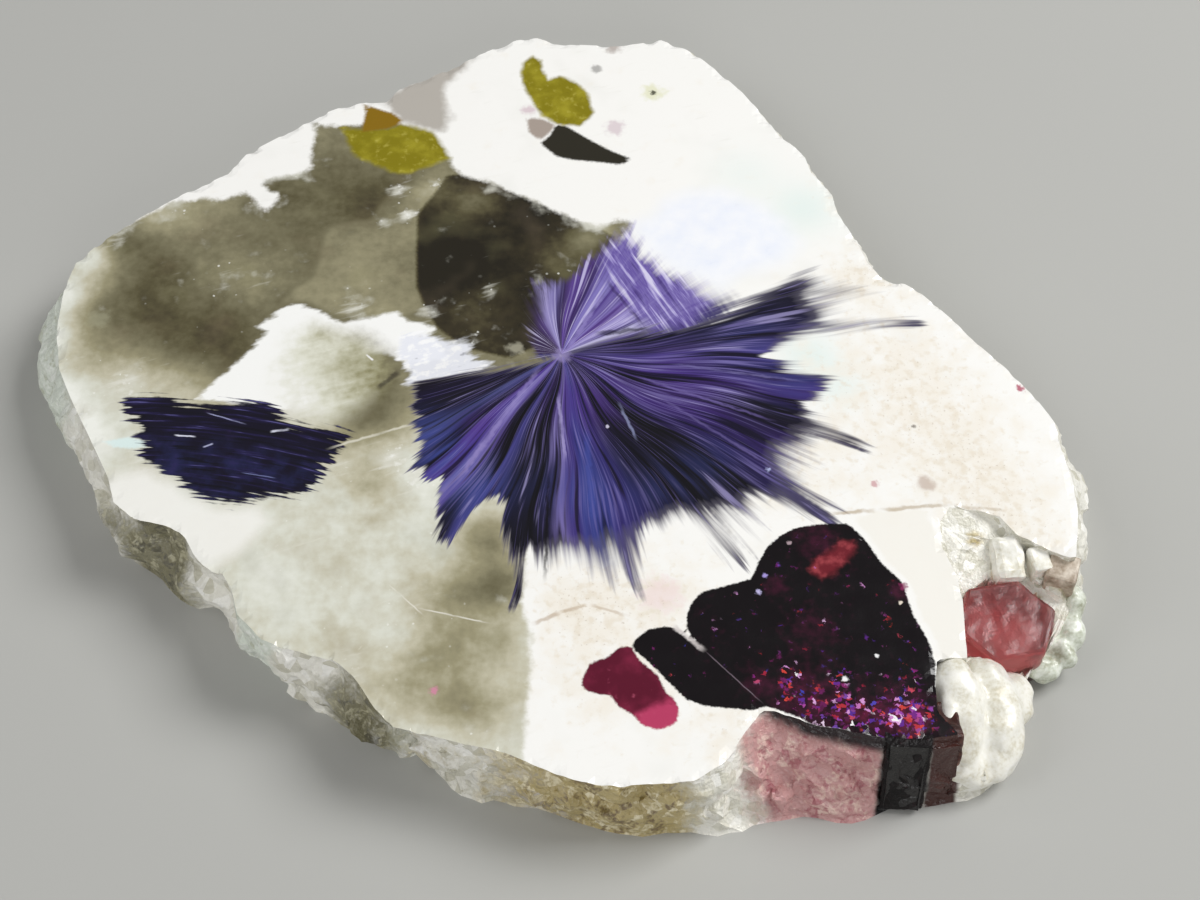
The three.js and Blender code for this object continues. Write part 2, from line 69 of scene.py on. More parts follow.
# Outlines on the plan: the minerals in the polished face, then the dark parts of the wall
OUTLINES = {
    "quartz": [
        (-55.6, 18.6), (-57.6, 14), (-60, 8), (-61, 2), (-60.4, -4), (-58, -10), (-56, -14), (-52, -22),
        (-40, -32), (-30, -44), (-14, -54), (-1.5, -56), (-1.2, -47), (-0.9, -42), (-0.8, -36.8),
        (-1.9, -33), (-1.8, -28), (0, -18), (1, -5), (2, 4), (6, 12), (8, 17), (10.2, 21.6), (8.2, 22),
        (6, 20.6), (4, 21.6), (0, 24), (-5, 27), (-8, 28.7), (-11, 29.9), (-12, 31.2), (-12.6, 32.8),
        (-15, 36), (-20, 39.5), (-26.6, 38.4), (-29.9, 38.9), (-29.7, 34), (-29.6, 30.6), (-30.8, 29.9),
        (-32.6, 29.4), (-34, 28.9), (-35.3, 28), (-34.6, 26.9), (-33.2, 26.4), (-33.1, 24.9), (-34.6, 23.4),
        (-35.4, 24.2), (-36.4, 26.4), (-37.2, 26.8), (-40, 25.2), (-42, 25.7), (-46, 25), (-51, 21),
    ],
    "window": [
        (-15.9, 23), (-15.6, 16), (-15.3, 11), (-14, 7.5), (-12.5, 4.5), (-9, 1.5), (-4, 0), (2, 4), (5, 12),
        (8, 19), (6, 20.6), (4, 21.6), (0, 24), (-5, 27), (-8, 28.7), (-11, 29.8), (-12.6, 29.6),
        (-14, 26.5),
    ],
    "pale_pane": [
        (-27.4, 12.6), (-27, 17.5), (-26.6, 20.4), (-24.6, 21.5), (-21.5, 22), (-20, 26), (-17.5, 28.2),
        (-15, 27), (-15.6, 20), (-15.4, 12), (-14.2, 7.5), (-17, 6.4), (-22, 6.2), (-25, 6.8), (-28, 8.6),
        (-31, 8.4), (-30, 10.2),
    ],
    "arrow": [
        (-33.6, 5), (-31.6, 6.4), (-30.8, 7.6), (-29.4, 8.3), (-27.2, 7.6), (-25.3, 6.5), (-23.7, 5.3),
        (-20, 6.4), (-17.4, 7.2), (-16.4, 5.8), (-12.9, 4.6), (-13, 3.4), (-15, 3.2), (-12.6, 2.4), (-11, 0),
        (-16, -1), (-18, 0.6), (-21, 0.4), (-24.4, 0.2), (-27, -1.4), (-28, -4), (-28.4, -7.6), (-35, -6.8),
        (-39.1, -5.8), (-36.2, -2), (-34.2, 0.7), (-32.2, 4),
    ],
    "lump": [
        (-27, 4.9), (-24, 4.2), (-20.6, 3.2), (-18.4, 1), (-17, -2), (-18.8, -5), (-20.4, -7.2), (-24, -9.4),
        (-28, -8.6), (-30.2, -6.8), (-31.4, -4), (-31.4, -1), (-30.4, 1.6), (-29, 3.8),
    ],
    "burst": [
        (-16.6, 3.6), (-13.4, 3.6), (-11, 2.4), (-9, 3), (-8.2, 0.4), (-6, -0.9), (-8.6, -2.2), (-12, -3.4),
        (-15.6, -4.2), (-15.4, -1.8), (-17, 0.4),
    ],
    "white_back": [
        (-46.5, -16.6), (-43.2, -16), (-40.8, -17.6), (-38, -19.6), (-35, -21.1), (-30.6, -21.2), (-29, -23),
        (-31.5, -26.5), (-35.2, -29.6), (-44, -28), (-50, -21),
    ],
    "bundle": [
        (-47.1, -6.2), (-43.3, -5.5), (-40, -6.2), (-36.5, -6.6), (-31.5, -6.7), (-30, -7.4), (-28.5, -9.3),
        (-26.9, -9.8), (-23.1, -10.5), (-21.5, -10.9), (-22.7, -14.3), (-23.8, -15.9), (-24.8, -18.5),
        (-26.2, -19.5), (-30, -19.9), (-33.5, -20.6), (-35.8, -20.3), (-38.1, -19.1), (-40, -17.2),
        (-42.3, -15.8), (-44, -14.3), (-44.6, -13), (-43.7, -12.4), (-45, -11.2), (-45.2, -9.7),
        (-46.4, -8.9),
    ],
    "lens": [(-48.8, -12.2), (-46, -11.5), (-44, -12), (-43.5, -12.8), (-45.4, -13.1), (-47.4, -12.9)],
    "lower_spray": [
        (15.2, 4.6), (19.4, 6.5), (24, 9.6), (29, 13), (31.4, 13.6), (30.9, 12.4), (39.4, 10.2), (31, 9),
        (37, 6.9), (33, 6.4), (42.6, 5), (35.5, 4), (30.9, 3.4), (28.6, 1.5), (26, 0.6), (28.2, -0.6),
        (31.7, -1.9), (31.9, -2.7), (31.5, -5), (30.5, -6.2), (30.5, -8.1), (34.4, -11.3), (35.7, -14),
        (33.2, -13.8), (28.6, -14.6), (28.2, -16), (30.4, -19.2), (32.3, -22.3), (29, -22.7), (25.5, -21.2),
        (20.4, -21.4), (22, -25.4), (22.8, -28), (21.3, -27.7), (19.4, -25.8), (18, -24.2), (16.7, -23.3),
        (12.8, -23.8), (11, -24.6), (10.2, -32.4), (9.4, -31.4), (7.8, -31.4), (5, -31), (3.1, -29.6),
        (1.1, -30.5), (0, -29.9), (-1.5, -27.8), (-1.9, -32.4), (-2.9, -33.9), (-3.7, -26.6), (-4.8, -19.9),
        (-7.4, -21.4), (-10.5, -25.2), (-10.9, -22), (-11.2, -18.5), (-13.8, -16.4), (-13.6, -12.4),
        (-14.3, -10), (-14.6, -6.4), (-14.9, -3.6), (-6, -2), (0, -0.4), (1.8, 0.4), (6, 2.4), (10.2, 3.8),
    ],
    "upper_spray": [
        (1.8, 0), (-1.2, 0.2), (-1.9, 4), (-2.2, 8), (-1.8, 12), (0.6, 11.4), (3, 12.4), (5.2, 15.2),
        (7.4, 18.8), (9.8, 21.2), (12, 16.4), (15.2, 13.4), (18.2, 12.2), (20.6, 10.6), (23, 9.6), (21, 6),
        (15.5, 2.6), (10, 1), (6, 0),
    ],
    "lilac_blades": [
        (8, 18.6), (9.8, 21.2), (12, 16.4), (15.2, 13.4), (17.4, 11.6), (18.2, 8.4), (16, 5.4), (12.6, 5),
        (10.4, 8), (8.6, 12.4), (7.2, 16),
    ],
    "blue_crystal": [
        (10, 21.2), (12.6, 22.6), (14, 25.2), (17, 26.7), (21, 27), (25, 25), (28.2, 22), (30, 18), (28, 15),
        (24.4, 13.6), (21.6, 12), (20.4, 10.6), (18.2, 12.2), (15.2, 13.4), (12, 16.4),
    ],
    "amber": [
        (-24, 42.6), (-21.7, 41.5), (-20, 40.8), (-18.5, 39.2), (-20.5, 38), (-23.8, 37.4), (-23.5, 40.8),
    ],
    "yellow_left": [
        (-26.8, 38.6), (-23.8, 37.8), (-21, 38), (-18.5, 38.9), (-14.6, 37.3), (-13.5, 35), (-12.3, 32.7),
        (-14.6, 31.4), (-17.3, 30), (-19.2, 30), (-21.5, 31.4), (-24.2, 33), (-25.2, 35), (-25.8, 36.9),
    ],
    "yellow_back": [
        (-3.8, 50.4), (-2.6, 51.7), (-1.4, 50.8), (-1.2, 48.8), (-0.4, 47), (0.8, 47.9), (3.1, 46.7),
        (4.6, 44.6), (5.4, 40.8), (3.8, 38.4), (0.8, 38.8), (-1.2, 40.4), (-2.3, 42.7), (-3.5, 45.4),
        (-4, 48.5),
    ],
    "grey_back": [
        (-21.4, 42.6), (-19, 46.2), (-16, 48), (-12.5, 50.4), (-10.4, 51.6), (-12, 48), (-13.6, 45.6),
        (-13.8, 43), (-12.5, 40.4), (-13.6, 37.6), (-18, 38.9), (-20, 40.8),
    ],
    "grey_wedge": [(-3.1, 40), (-1.2, 39.8), (0.7, 38.6), (-0.6, 36.6), (-1.4, 35.9), (-2.7, 37.3)],
    "slot": [
        (0.6, 38.7), (1.9, 38.5), (5, 35.9), (7.7, 33.9), (10.2, 32.5), (8.8, 31.5), (6.5, 31.9),
        (2.7, 32.4), (0.8, 33), (-1.3, 35.3), (0, 36.8),
    ],
    "plum": [
        (32.7, -23.3), (30.2, -23.3), (27.1, -23.8), (25.5, -24.8), (24, -26.2), (22.8, -28.5),
        (22.1, -30.4), (19.4, -31.3), (16.7, -32.1), (15.5, -33.8), (15.1, -35.4), (15.2, -36.9),
        (16.9, -39.3), (15, -37.8), (13.6, -36.3), (11.3, -36.6), (9.8, -37.9), (9.4, -38.9), (11.3, -40.8),
        (13.2, -43.1), (14.8, -45), (16.7, -45.8), (21.3, -46.3), (22.8, -45.8), (25.2, -46.7),
        (27.1, -47.7), (30.2, -48.5), (32.5, -49.2), (34.6, -50.2), (42.6, -50.2), (42.4, -47.4),
        (40.6, -46.4), (40, -43.5), (40.3, -40.8), (39.8, -38), (38.6, -35), (37.8, -30.8), (35.9, -28.5),
        (34.4, -25.4),
    ],
    "red_window": [
        (28.1, -29.4), (28.9, -27.9), (30.6, -26.8), (31.8, -25.4), (33.1, -25.6), (33.4, -26.6),
        (32.2, -28.2), (30.7, -29.8), (29.2, -30.4),
    ],
    "crimson": [
        (4.2, -43.1), (5.2, -40.8), (7.1, -40), (8.2, -38.8), (9.4, -38.8), (10.2, -40.4), (12.1, -42.3),
        (12.8, -44.2), (13.7, -45), (14.1, -46.2), (13.8, -47.7), (12.1, -48.6), (10.3, -47.9), (9.6, -46.9),
        (8, -45.8), (7.3, -44.6), (5.9, -44.4), (4.8, -44),
    ],
    "pink_lobe": [
        (12.2, -45.6), (13.4, -44.8), (14.4, -45.4), (14.6, -47.6), (12.6, -49), (10.2, -48.4), (9.6, -47),
        (11, -46),
    ],
    "white_strip": [
        (33.4, -22.6), (35, -25.2), (36.6, -28.4), (38.6, -30.8), (39.4, -35), (40.6, -38), (41.2, -41),
        (42.4, -46.6), (43, -52), (46, -52), (46, -40), (43.9, -33), (42.6, -26.5), (41, -21.4), (36, -21.6),
    ],
    "black_part": [(34.6, -45), (39, -45), (39.3, -54.5), (34, -54.5)],
    "maroon_part": [(39, -44), (42.2, -44), (42.6, -50), (42.2, -54), (39.2, -54)],
}

# The middle and half sizes, mm, of the beds under the red crystal and the white fingers
BEDS = [
    ((48.9, -33.6), (4.9, 4.9)), ((43.6, -45), (2.8, 5.6)), ((47, -43.8), (3, 5.8)),
]

# Soft clouds on the face and walls, each the middle, radius in mm and amount. Smoke darkens the quartz and
# frost whitens it with fine fractures. Warmth browns the feldspar and mint cools it. Fade thins the ends of
# the spray, and glow and the tints colour it. One cloud places the painted glints on the plum crystal,
# coloured highlights painted into its colour, and wine tints it red. The last four tint the walls.
CLOUDS = {
    "smoke": [
        (-47, 11, 7, 0.12), (-43, 3, 9, 0.12), (-36, 2, 6, 0.1), (-30, 26, 7, 0.1), (-22, 26, 5, 0.16),
        (-52, 12, 4, -0.12), (-43, 22.5, 6, -0.16), (-37, 12, 6, -0.06), (-47, -3, 6, -0.26),
        (-41, -4, 4, -0.16), (-50, 2, 5, -0.1), (-27, 36, 4, -0.06), (-9, 25.5, 3.6, -0.3),
        (-14, 27, 3, -0.2), (-11, 15, 6, 0.12), (1, 16, 4, -0.2), (5, 19, 3, -0.3), (-9, 7, 4, -0.16),
        (-5, 4, 4, -0.06), (-21.4, 1.4, 2.6, 0.2), (-25, 2.4, 2, 0.12), (-27.5, -1, 3, -0.06),
        (-18, -4, 2, 0.12), (-24, -6.4, 2.4, 0.08), (-57, 10, 4.2, -0.6), (-57.6, 3, 4.4, -0.6),
        (-56, -5, 5, -0.55), (-54.6, 16, 3.6, -0.5), (-52, -11, 5, -0.4), (-48, 23, 3, -0.2),
        (-6, -25.5, 3.6, 0.34), (-8, -32, 4.4, 0.3), (-9.5, -39, 4.4, 0.26), (-4, -31, 3.4, 0.36),
        (-4, -38, 3.4, 0.2), (-8.5, -45, 3.6, 0.2), (-51, 17.4, 3, 0.16), (-19, -8.5, 4.5, 0.34),
        (-23, -12, 3, 0.14), (-33, -25.5, 3, 0.06), (-19, -17, 4, 0.16), (-4, -46, 5, 0.14),
        (-14, -43, 4, 0.16), (-50, -9, 4, 0.06), (-27, -31, 5, -0.06), (-13, -17, 4, -0.1),
    ],
    "frost": [
        (-7, 10.5, 1.8, 0.5), (-10.4, 8.6, 2, 0.45), (-13.6, 7, 1.8, 0.6), (-8.4, 3, 2, 0.6),
        (-5, 5, 1.6, 0.4), (-15, 3, 2.2, 0.7), (-1.6, 12, 1.6, 0.5), (2.4, 14, 2, 0.35), (-17, 23, 1.6, 1.0),
        (-18.6, 27, 2, 0.7), (-20, 21.6, 1.8, 0.6), (-14, 28, 1.4, 0.7), (-45, 23.5, 3, 0.4),
        (-38, 12, 5, 0.34), (-33, 15, 4, 0.24), (-47, -3.6, 4, 0.7), (-52, -8, 3, 0.7), (-53, 0, 2.4, 0.5),
        (-17, -14, 2.6, 0.8), (-13.6, -17, 3, 0.8), (-22, -15.6, 2, 0.6), (-15, 40.6, 2, 0.7),
        (-26, -26, 7, 0.4), (-15, -35, 7, 0.35), (-23, 7.4, 3.4, 0.6), (-27, -3, 3.4, 0.7),
        (-23, -2, 3, 0.5), (-20, 3, 2, 0.4), (-44, -19, 6, 0.6), (-34, -36, 6, 0.5), (5.4, 21.6, 2.4, 0.6),
        (-32, 31, 2, 0.6), (-52, 19, 3, 0.4), (-12, -24, 2, 0.4), (-4, -49, 4, 0.4), (-20, -42, 4, 0.5),
    ],
    "warmth": [
        (40, -2, 13, 0.9), (28, -16, 10, 0.7), (46, -14, 10, 0.8), (37, 13, 6, 0.9), (6, -42, 9, 0.8),
        (12, -32, 8, 0.9), (50, -24, 9, 0.9), (20, -48, 8, 0.8), (3, -33, 5, 0.9), (35, 26, 3, 0.7),
    ],
    "mint": [(31, 24, 5, 0.8), (30, 0.6, 4, 0.8), (33, -4, 4, 0.6), (24, 30, 5, 0.4), (27, 19, 3, 0.3)],
    "blue_tint": [
        (-11, -14.5, 4, 0.8), (-7, -19, 4, 0.7), (5, -19, 5, 0.7), (-12.5, -10.5, 3, 0.6), (28, -3, 4, 0.4),
        (23, 3, 5, 0.3), (18, -14, 4, 0.3), (13, -18, 4, 0.3),
    ],
    "purple_tint": [
        (4, -6, 5, 0.7), (14, -3.4, 6, 0.6), (7, 5, 4, 0.5), (-7, -10, 3, 0.6), (18, -8, 4, 0.4),
    ],
    "night_tint": [
        (16, -11, 5, 0.5), (10, -16, 4, 0.6), (24, -9, 4, 0.5), (19, 6.4, 4, 0.6), (-9, -5, 5, 0.5),
        (-2, -22, 3, 0.5), (27, 8, 4, 0.3),
    ],
    "fade": [
        (6, -28, 6, 3.2), (14, -23, 4, 2), (20, -24, 5, 3), (30, 1, 4, 2.4), (36, 7, 7, 5), (33, 12, 4, 2.4),
        (32, -10, 5, 2), (29, -19, 5, 2), (26, -14, 4, 3), (2, -27, 3, 1.2), (12, -31, 3, 2),
        (-2, 8, 4, 2.4), (8, 20, 4, 1.5), (19, 11, 4, 3), (14, 16, 4, 2), (5, -28, 4, 1.4), (24, 13, 5, 2),
        (36, 3, 4, 2), (24, -22, 4, 2),
    ],
    "glow": [
        (1.6, -1, 2.4, 0.6), (6, -1.4, 3, 0.8), (-4, -7, 4, 0.8), (5, 6, 4, 0.6), (12, -2.4, 5, 0.5),
        (21, -2, 5, 0.5), (22, 3.6, 5, 0.5), (17, -9, 5, 0.4), (2.4, -12, 4, 0.7), (8, -20, 5, 0.4),
        (24, -15, 5, 0.4), (-8, -16, 4, 0.5),
    ],
    # Painted glints: where coloured highlights are painted into the plum crystal's colour
    "painted_glint": [
        (24.6, -42.6, 2, 0.42), (27, -44.8, 2.4, 0.5), (31, -46.6, 3, 0.6), (35.6, -46.8, 2.6, 0.6),
        (38, -47.6, 2.4, 0.6), (30.6, -42.4, 1.3, 0.5), (22, -42.6, 0.9, 0.4), (37.4, -42.6, 2.2, 0.26),
        (28, -36.5, 3, 0.08), (36, -37, 1.6, 0.16), (35.6, -31, 1.4, 0.14),
    ],
    "wine": [
        (29, -25, 3, 0.5), (16.8, -34, 2, 0.2), (28, -36.6, 4, 0.5), (30.6, -28, 4, 0.3),
        (37.4, -32, 1.6, 0.7), (24.6, -31.4, 1.4, 0.8), (27, -45, 5, 0.7), (36, -47, 5, 0.8),
        (22, -43, 2, 0.6), (18, -38, 3, 0.2),
    ],
    "olive": [(-42, -25, 6, 1.0), (-49, -19, 4, 0.5), (-20, -46, 7, 0.8), (-12, -52, 6, 0.4)],
    "ochre": [
        (-4, -54, 5, 0.6), (4, -57, 7, 0.9), (12, -57, 6, 0.8), (-13, -51, 4, 0.6), (46.4, -24.2, 1.4, 0.7),
        (48.4, -27.6, 1.2, 0.6), (55.4, -29.6, 1.6, 0.5), (52.6, -30.2, 1.2, 0.4),
    ],
    "rose": [(24, -49, 5, 0.8), (30, -51, 6, 1.2), (49, -30, 4, 0.5)],
    "frosty": [
        (-59, 8, 7, 0.9), (-58, -4, 8, 0.8), (-50, 22, 5, 0.5), (-30, -36, 5, 0.9), (-14, -46, 5, 0.4),
    ],
}
# The quartz is darker behind than in front: its two levels of smoke, and where and how softly they meet, mm
SMOKE_ABOVE, SMOKE_BELOW = 0.62, 0.2
SMOKE_TURN, SMOKE_SOFTNESS = -6, 2.5
# How steeply a cloud falls off: at its radius a quarter of it is left
CLOUD_FALL = 1.4


def plan_of(mesh):
    """Where the points of a mesh lie on the plan, mm."""
    places = np.empty(len(mesh.vertices) * 3)
    mesh.vertices.foreach_get("co", places)
    return places.reshape(-1, 3) / MM + np.array([*PLAN_MIDDLE, 0])


def depth_in(outline, points):
    """How far each point lies inside a closed outline, mm. Outside it is below zero."""
    corners = np.array(outline, dtype=float)
    nearest = np.full(len(points), np.inf)
    inside = np.zeros(len(points), dtype=bool)
    x, y = points[:, 0], points[:, 1]
    for start, end in zip(corners, np.roll(corners, -1, axis=0)):
        side = end - start
        along = np.clip(((x - start[0]) * side[0] + (y - start[1]) * side[1]) / (side @ side), 0, 1)
        away = np.hypot(x - start[0] - along * side[0], y - start[1] - along * side[1])
        nearest = np.minimum(nearest, away)
        if start[1] != end[1]:
            crosses = (start[1] > y) != (end[1] > y)
            inside ^= crosses & (x < start[0] + (y - start[1]) * side[0] / side[1])
    return np.where(inside, nearest, -nearest)


def soft_sum(clouds, points):
    """The sum of soft round clouds, each (x, y, radius, amount), at the points."""
    total = np.zeros(len(points))
    for x, y, radius, amount in clouds:
        away = np.hypot(points[:, 0] - x, points[:, 1] - y) / radius
        total += amount * np.exp(-CLOUD_FALL * away ** 2)
    return total


def slice_the_face(bm, face):
    """Cuts one flat face into small cells by planes across it both ways."""
    geometry = [face, *face.edges, *face.verts]
    for axis, normal in ((0, Vector((1, 0, 0))), (1, Vector((0, 1, 0)))):
        across = [part.co[axis] for part in geometry if isinstance(part, bmesh.types.BMVert)]
        lowest, highest = min(across), max(across)
        for cut in range(1, int((highest - lowest) / (FACE_STEP * MM)) + 1):
            place = normal * (lowest + cut * FACE_STEP * MM - CUT_SHIFT * FACE_STEP * MM)
            cells = bmesh.ops.bisect_plane(bm, geom=geometry, dist=SAME_CUT, plane_co=place, plane_no=normal)
            geometry = cells["geom"]


# Material slots of the slab: broken walls, sawn back, then the zones of the polished face in their order
BROKEN, SAWN, FIRST_ZONE = 0, 1, 2


def plan_xy(place):
    """Where one place in the frame lies on the plan, mm."""
    return place.x / MM + PLAN_MIDDLE[0], place.y / MM + PLAN_MIDDLE[1]


def zone_index(place):
    """The material slot of the zone that a place on the polished face lies in."""
    x, y = plan_xy(place)
    for index, (left, front, right, back) in enumerate(ZONES.values()):
        if left <= x < right and front <= y < back:
            return FIRST_ZONE + index
    return FIRST_ZONE


def is_bedded(place):
    """Whether a place on the walls lies under one of the crystals that have a shape of their own."""
    x, y = plan_xy(place)
    return any(((x - middle_x) / half_x) ** 2 + ((y - middle_y) / half_y) ** 2 < 1
               for (middle_x, middle_y), (half_x, half_y) in BEDS)


def wall_relief(point):
    """How far a point of a broken wall moves along its normal, mm: flat grains with finer grit on them."""
    at = point / MM
    cells = noise.voronoi(at / GRAIN_SIZE, distance_metric="DISTANCE", exponent=2.5)
    grain = min(1.0, (cells[0][1] - cells[0][0]) * 1.4)
    grit = noise.noise(at / GRIT_SIZE) * 0.6 + noise.noise(at / (GRIT_SIZE * 0.45)) * 0.4
    return GRAIN_DEPTH * (grain - 0.75) + GRIT_DEPTH * (grit - 0.3)


def slab_mesh():
    """The slab, merged from the frame's node, with its face in small cells and its walls broken."""
    bm = bmesh.new()
    bm.from_mesh(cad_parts["slice"].data)
    bmesh.ops.remove_doubles(bm, verts=bm.verts, dist=SAME_POINT)
    top = max(v.co.z for v in bm.verts)
    face_parts = [f for f in bm.faces if all(top - v.co.z < ON_PLANE * MM for v in f.verts)]
    whole = bmesh.ops.dissolve_faces(bm, faces=face_parts, use_verts=False)["region"]
    back_parts = [f for f in bm.faces if all(v.co.z < ON_PLANE * MM for v in f.verts)]
    bmesh.ops.dissolve_faces(bm, faces=back_parts, use_verts=False)
    slice_the_face(bm, max(whole, key=lambda f: f.calc_area()))

    def is_flat(face):
        heights = [v.co.z for v in face.verts]
        return min(heights) > top - ON_PLANE * MM or max(heights) < ON_PLANE * MM

    bmesh.ops.triangulate(bm, faces=[f for f in bm.faces if not is_flat(f) and len(f.verts) > 3])
    wall_edges = list({e for f in bm.faces if not is_flat(f) for e in f.edges})
    bmesh.ops.subdivide_edges(bm, edges=wall_edges, cuts=WALL_CUTS, use_grid_fill=True)
    bmesh.ops.triangulate(bm, faces=bm.faces)
    flat = {f for f in bm.faces if is_flat(f)}
    rim = [v for v in bm.verts if top - v.co.z < ON_PLANE * MM and any(f not in flat for f in v.link_faces)]
    near_rim = kdtree.KDTree(len(rim))
    for index, v in enumerate(rim):
        near_rim.insert(v.co, index)
    near_rim.balance()
    for f in bm.faces:
        place = f.calc_center_median()
        f.material_index = BROKEN if f not in flat else SAWN if place.z < top / 2 else zone_index(place)
    bm.normal_update()
    box = [[extreme(v.co[axis] for v in bm.verts) for axis in range(3)] for extreme in (min, max)]
    for v in bm.verts:
        place = v.co.copy()
        if all(f not in flat for f in v.link_faces):
            below_rim = min(1.0, (top - v.co.z) / (RIM_EASE * MM))
            place += v.normal * wall_relief(v.co) * below_rim * MM
        worn = max(0.0, 1 - near_rim.find(v.co)[2] / (CHIP_WIDTH * MM))
        place.z -= worn * max(0.0, noise.noise(v.co / MM / CHIP_SIZE) + CHIP_LIFT) * CHIP_DEPTH * MM
        if is_bedded(place) and v.co.z < top - ON_PLANE * MM:
            place.z = min(place.z, (SINK_TO + (place.z / MM - SINK_TO) * SUNKEN_SHARE) * MM)
        v.co = [min(max(place[axis], box[0][axis]), box[1][axis]) for axis in range(3)]
    return bm


def linear(code):
    """An sRGB hex colour as linear red, green, blue and alpha."""
    parts = [int(code[at:at + 2], 16) / 255 for at in (1, 3, 5)]
    return (*[p / 12.92 if p <= 0.04045 else ((p + 0.055) / 1.055) ** 2.4 for p in parts], 1.0)


# The node trees of the materials begun so far. Nodes go into the last one.
TREES = []


def add(kind, inputs=None, stops=None, **settings):
    """Adds a node with its settings, its inputs as values or sockets that feed them, and a ramp's stops."""
    tree = TREES[-1]
    node = tree.nodes.new("ShaderNode" + kind)
    for name, value in settings.items():
        setattr(node, name, value)
    for name, value in (inputs or {}).items():
        if isinstance(value, bpy.types.NodeSocket):
            tree.links.new(value, node.inputs[name])
        else:
            node.inputs[name].default_value = linear(value) if isinstance(value, str) else value
    if stops:
        elements = node.color_ramp.elements
        elements[0].position, elements[-1].position = stops[0][0], stops[-1][0]
        for place, _ in stops[1:-1]:
            elements.new(place)
        for place, colour in stops:
            element = min(elements, key=lambda e: abs(e.position - place))
            element.color = linear(colour) if isinstance(colour, str) else (colour, colour, colour, 1)
    return node


FACTOR, OVER, UNDER = 0, 7, 6


def painted(base, layers):
    """Lays colours over a base one after another, each through its own mask."""
    for mask, colour in layers:
        base = add("Mix", {FACTOR: mask, UNDER: base, OVER: colour}, data_type="RGBA").outputs[2]
    return base


def ripple(at, size, amount, detail=2.0, space="3D"):
    """Smooth noise between about -amount and +amount, in lumps of a size in mm."""
    field = add("TexNoise", {"Vector": at, "Scale": 1 / size, "Detail": detail}, noise_dimensions=space)
    swing = {0: field.outputs["Fac"], 1: 2 * amount, 2: -amount}
    return add("Math", swing, operation="MULTIPLY_ADD").outputs[0]


def joined(operation, parts):
    """Several numbers taken together, one after another, by one operation."""
    total = parts[0]
    for part in parts[1:]:
        total = add("Math", {0: total, 1: part}, operation=operation).outputs[0]
    return total


def summed(*parts):
    """The sum of several numbers."""
    return joined("ADD", parts)


def product(*parts):
    """The product of several numbers."""
    return joined("MULTIPLY", parts)


def over_limit(value, low, high, most=1.0):
    """A mask that rises from 0 at the low value to `most` at the high one."""
    limits = {"Value": value, "From Min": low, "From Max": high, "To Max": most}
    return add("MapRange", limits, interpolation_type="SMOOTHSTEP").outputs["Result"]


def region(name, wobble=0.0, soft=0.15, grow=0.0, most=1.0):
    """A mask that is `most` inside an outline and 0 outside it, its edge moved by a wobble in mm."""
    depth = add("Attribute", attribute_name=name).outputs["Fac"]
    return over_limit(summed(depth, wobble), -soft - grow, soft - grow, most)


def plan_coordinates():
    """Object coordinates turned to mm on the plan."""
    at = add("TexCoord").outputs["Object"]
    return add("VectorMath", {0: at, 1: (1 / MM,) * 3, 2: (*PLAN_MIDDLE, 0)},
               operation="MULTIPLY_ADD").outputs[0]


def new_material(name):
    """An empty material, which takes the nodes that follow, and the plan coordinates in it."""
    material = bpy.data.materials.new(name)
    material.use_nodes = True
    material.node_tree.nodes.clear()
    TREES.append(material.node_tree)
    return material, plan_coordinates()


def surface(inputs, **more):
    """Ends a material with its shader and its output."""
    add("OutputMaterial", {"Surface": add("BsdfPrincipled", inputs).outputs[0], **more})


SPRAY_CENTRE = (1.8, 0.2)

# Colours of the spray by bearing, degrees from +X towards +Y. The lower rays run from the left round the
# front to the right.
LOWER_RAYS = [
    (190, "#17102a"), (194, "#120d1a"), (202, "#171130"), (206, "#110d18"), (212, "#17142c"),
    (216, "#454c80"), (220, "#37386e"), (223, "#100d1a"), (226, "#171230"), (229, "#553a92"),
    (233, "#453686"), (237, "#857ab8"), (239.5, "#5f4f9a"), (242, "#110e19"), (245.5, "#110e19"),
    (248, "#413f80"), (251, "#30305f"), (253.5, "#100e19"), (265, "#110f18"), (267.5, "#221c38"),
    (270.5, "#7c70ae"), (274, "#3c2c72"), (280, "#343b80"), (287, "#33296a"), (296, "#131024"),
    (306, "#100e16"), (316, "#121018"), (323, "#241d4a"), (332, "#33225f"), (340, "#131019"),
]
RIGHT_RAYS = [
    (338, "#131019"), (343, "#151126"), (347, "#362262"), (351, "#43347a"), (355, "#241d48"),
    (359, "#33295f"), (363, "#453b7c"), (367, "#2a2348"), (372, "#221f42"), (378, "#151326"),
    (383, "#19172b"), (387, "#55507c"), (391, "#aea6cc"),
]
UPPER_RAYS = [
    (24, "#3a3468"), (30, "#c4bfe2"), (36, "#8378b4"), (43, "#9d92cc"), (49, "#56378a"), (54, "#8578bc"),
    (60, "#4f3986"), (65, "#8d84c6"), (71, "#7264ae"), (77, "#3f2a66"), (83, "#624899"), (89, "#352750"),
    (95, "#766da8"), (101, "#9f96cc"), (108, "#523f7c"), (120, "#3a2c4e"),
]


def ray_colour(degrees, rays):
    """The colour of the rays at a bearing."""
    first, last = float(rays[0][0]), float(rays[-1][0])
    turn = add("MapRange", {"Value": degrees, "From Min": first, "From Max": last}).outputs["Result"]
    stops = [((bearing - first) / (last - first), colour) for bearing, colour in rays]
    return add("ValToRGB", {"Fac": turn}, stops=stops).outputs[0]


def fibre_noise(turned, reach, fineness, detail, along=0.05):
    """Noise drawn out along straight lines from a centre, between about -0.5 and 0.5."""
    place = add("CombineXYZ", {"X": product(turned, float(fineness)), "Y": product(reach, along)})
    field = add("TexNoise", {"Vector": place.outputs[0], "Scale": 1.0, "Detail": detail},
                noise_dimensions="2D")
    return summed(field.outputs["Fac"], -0.5)


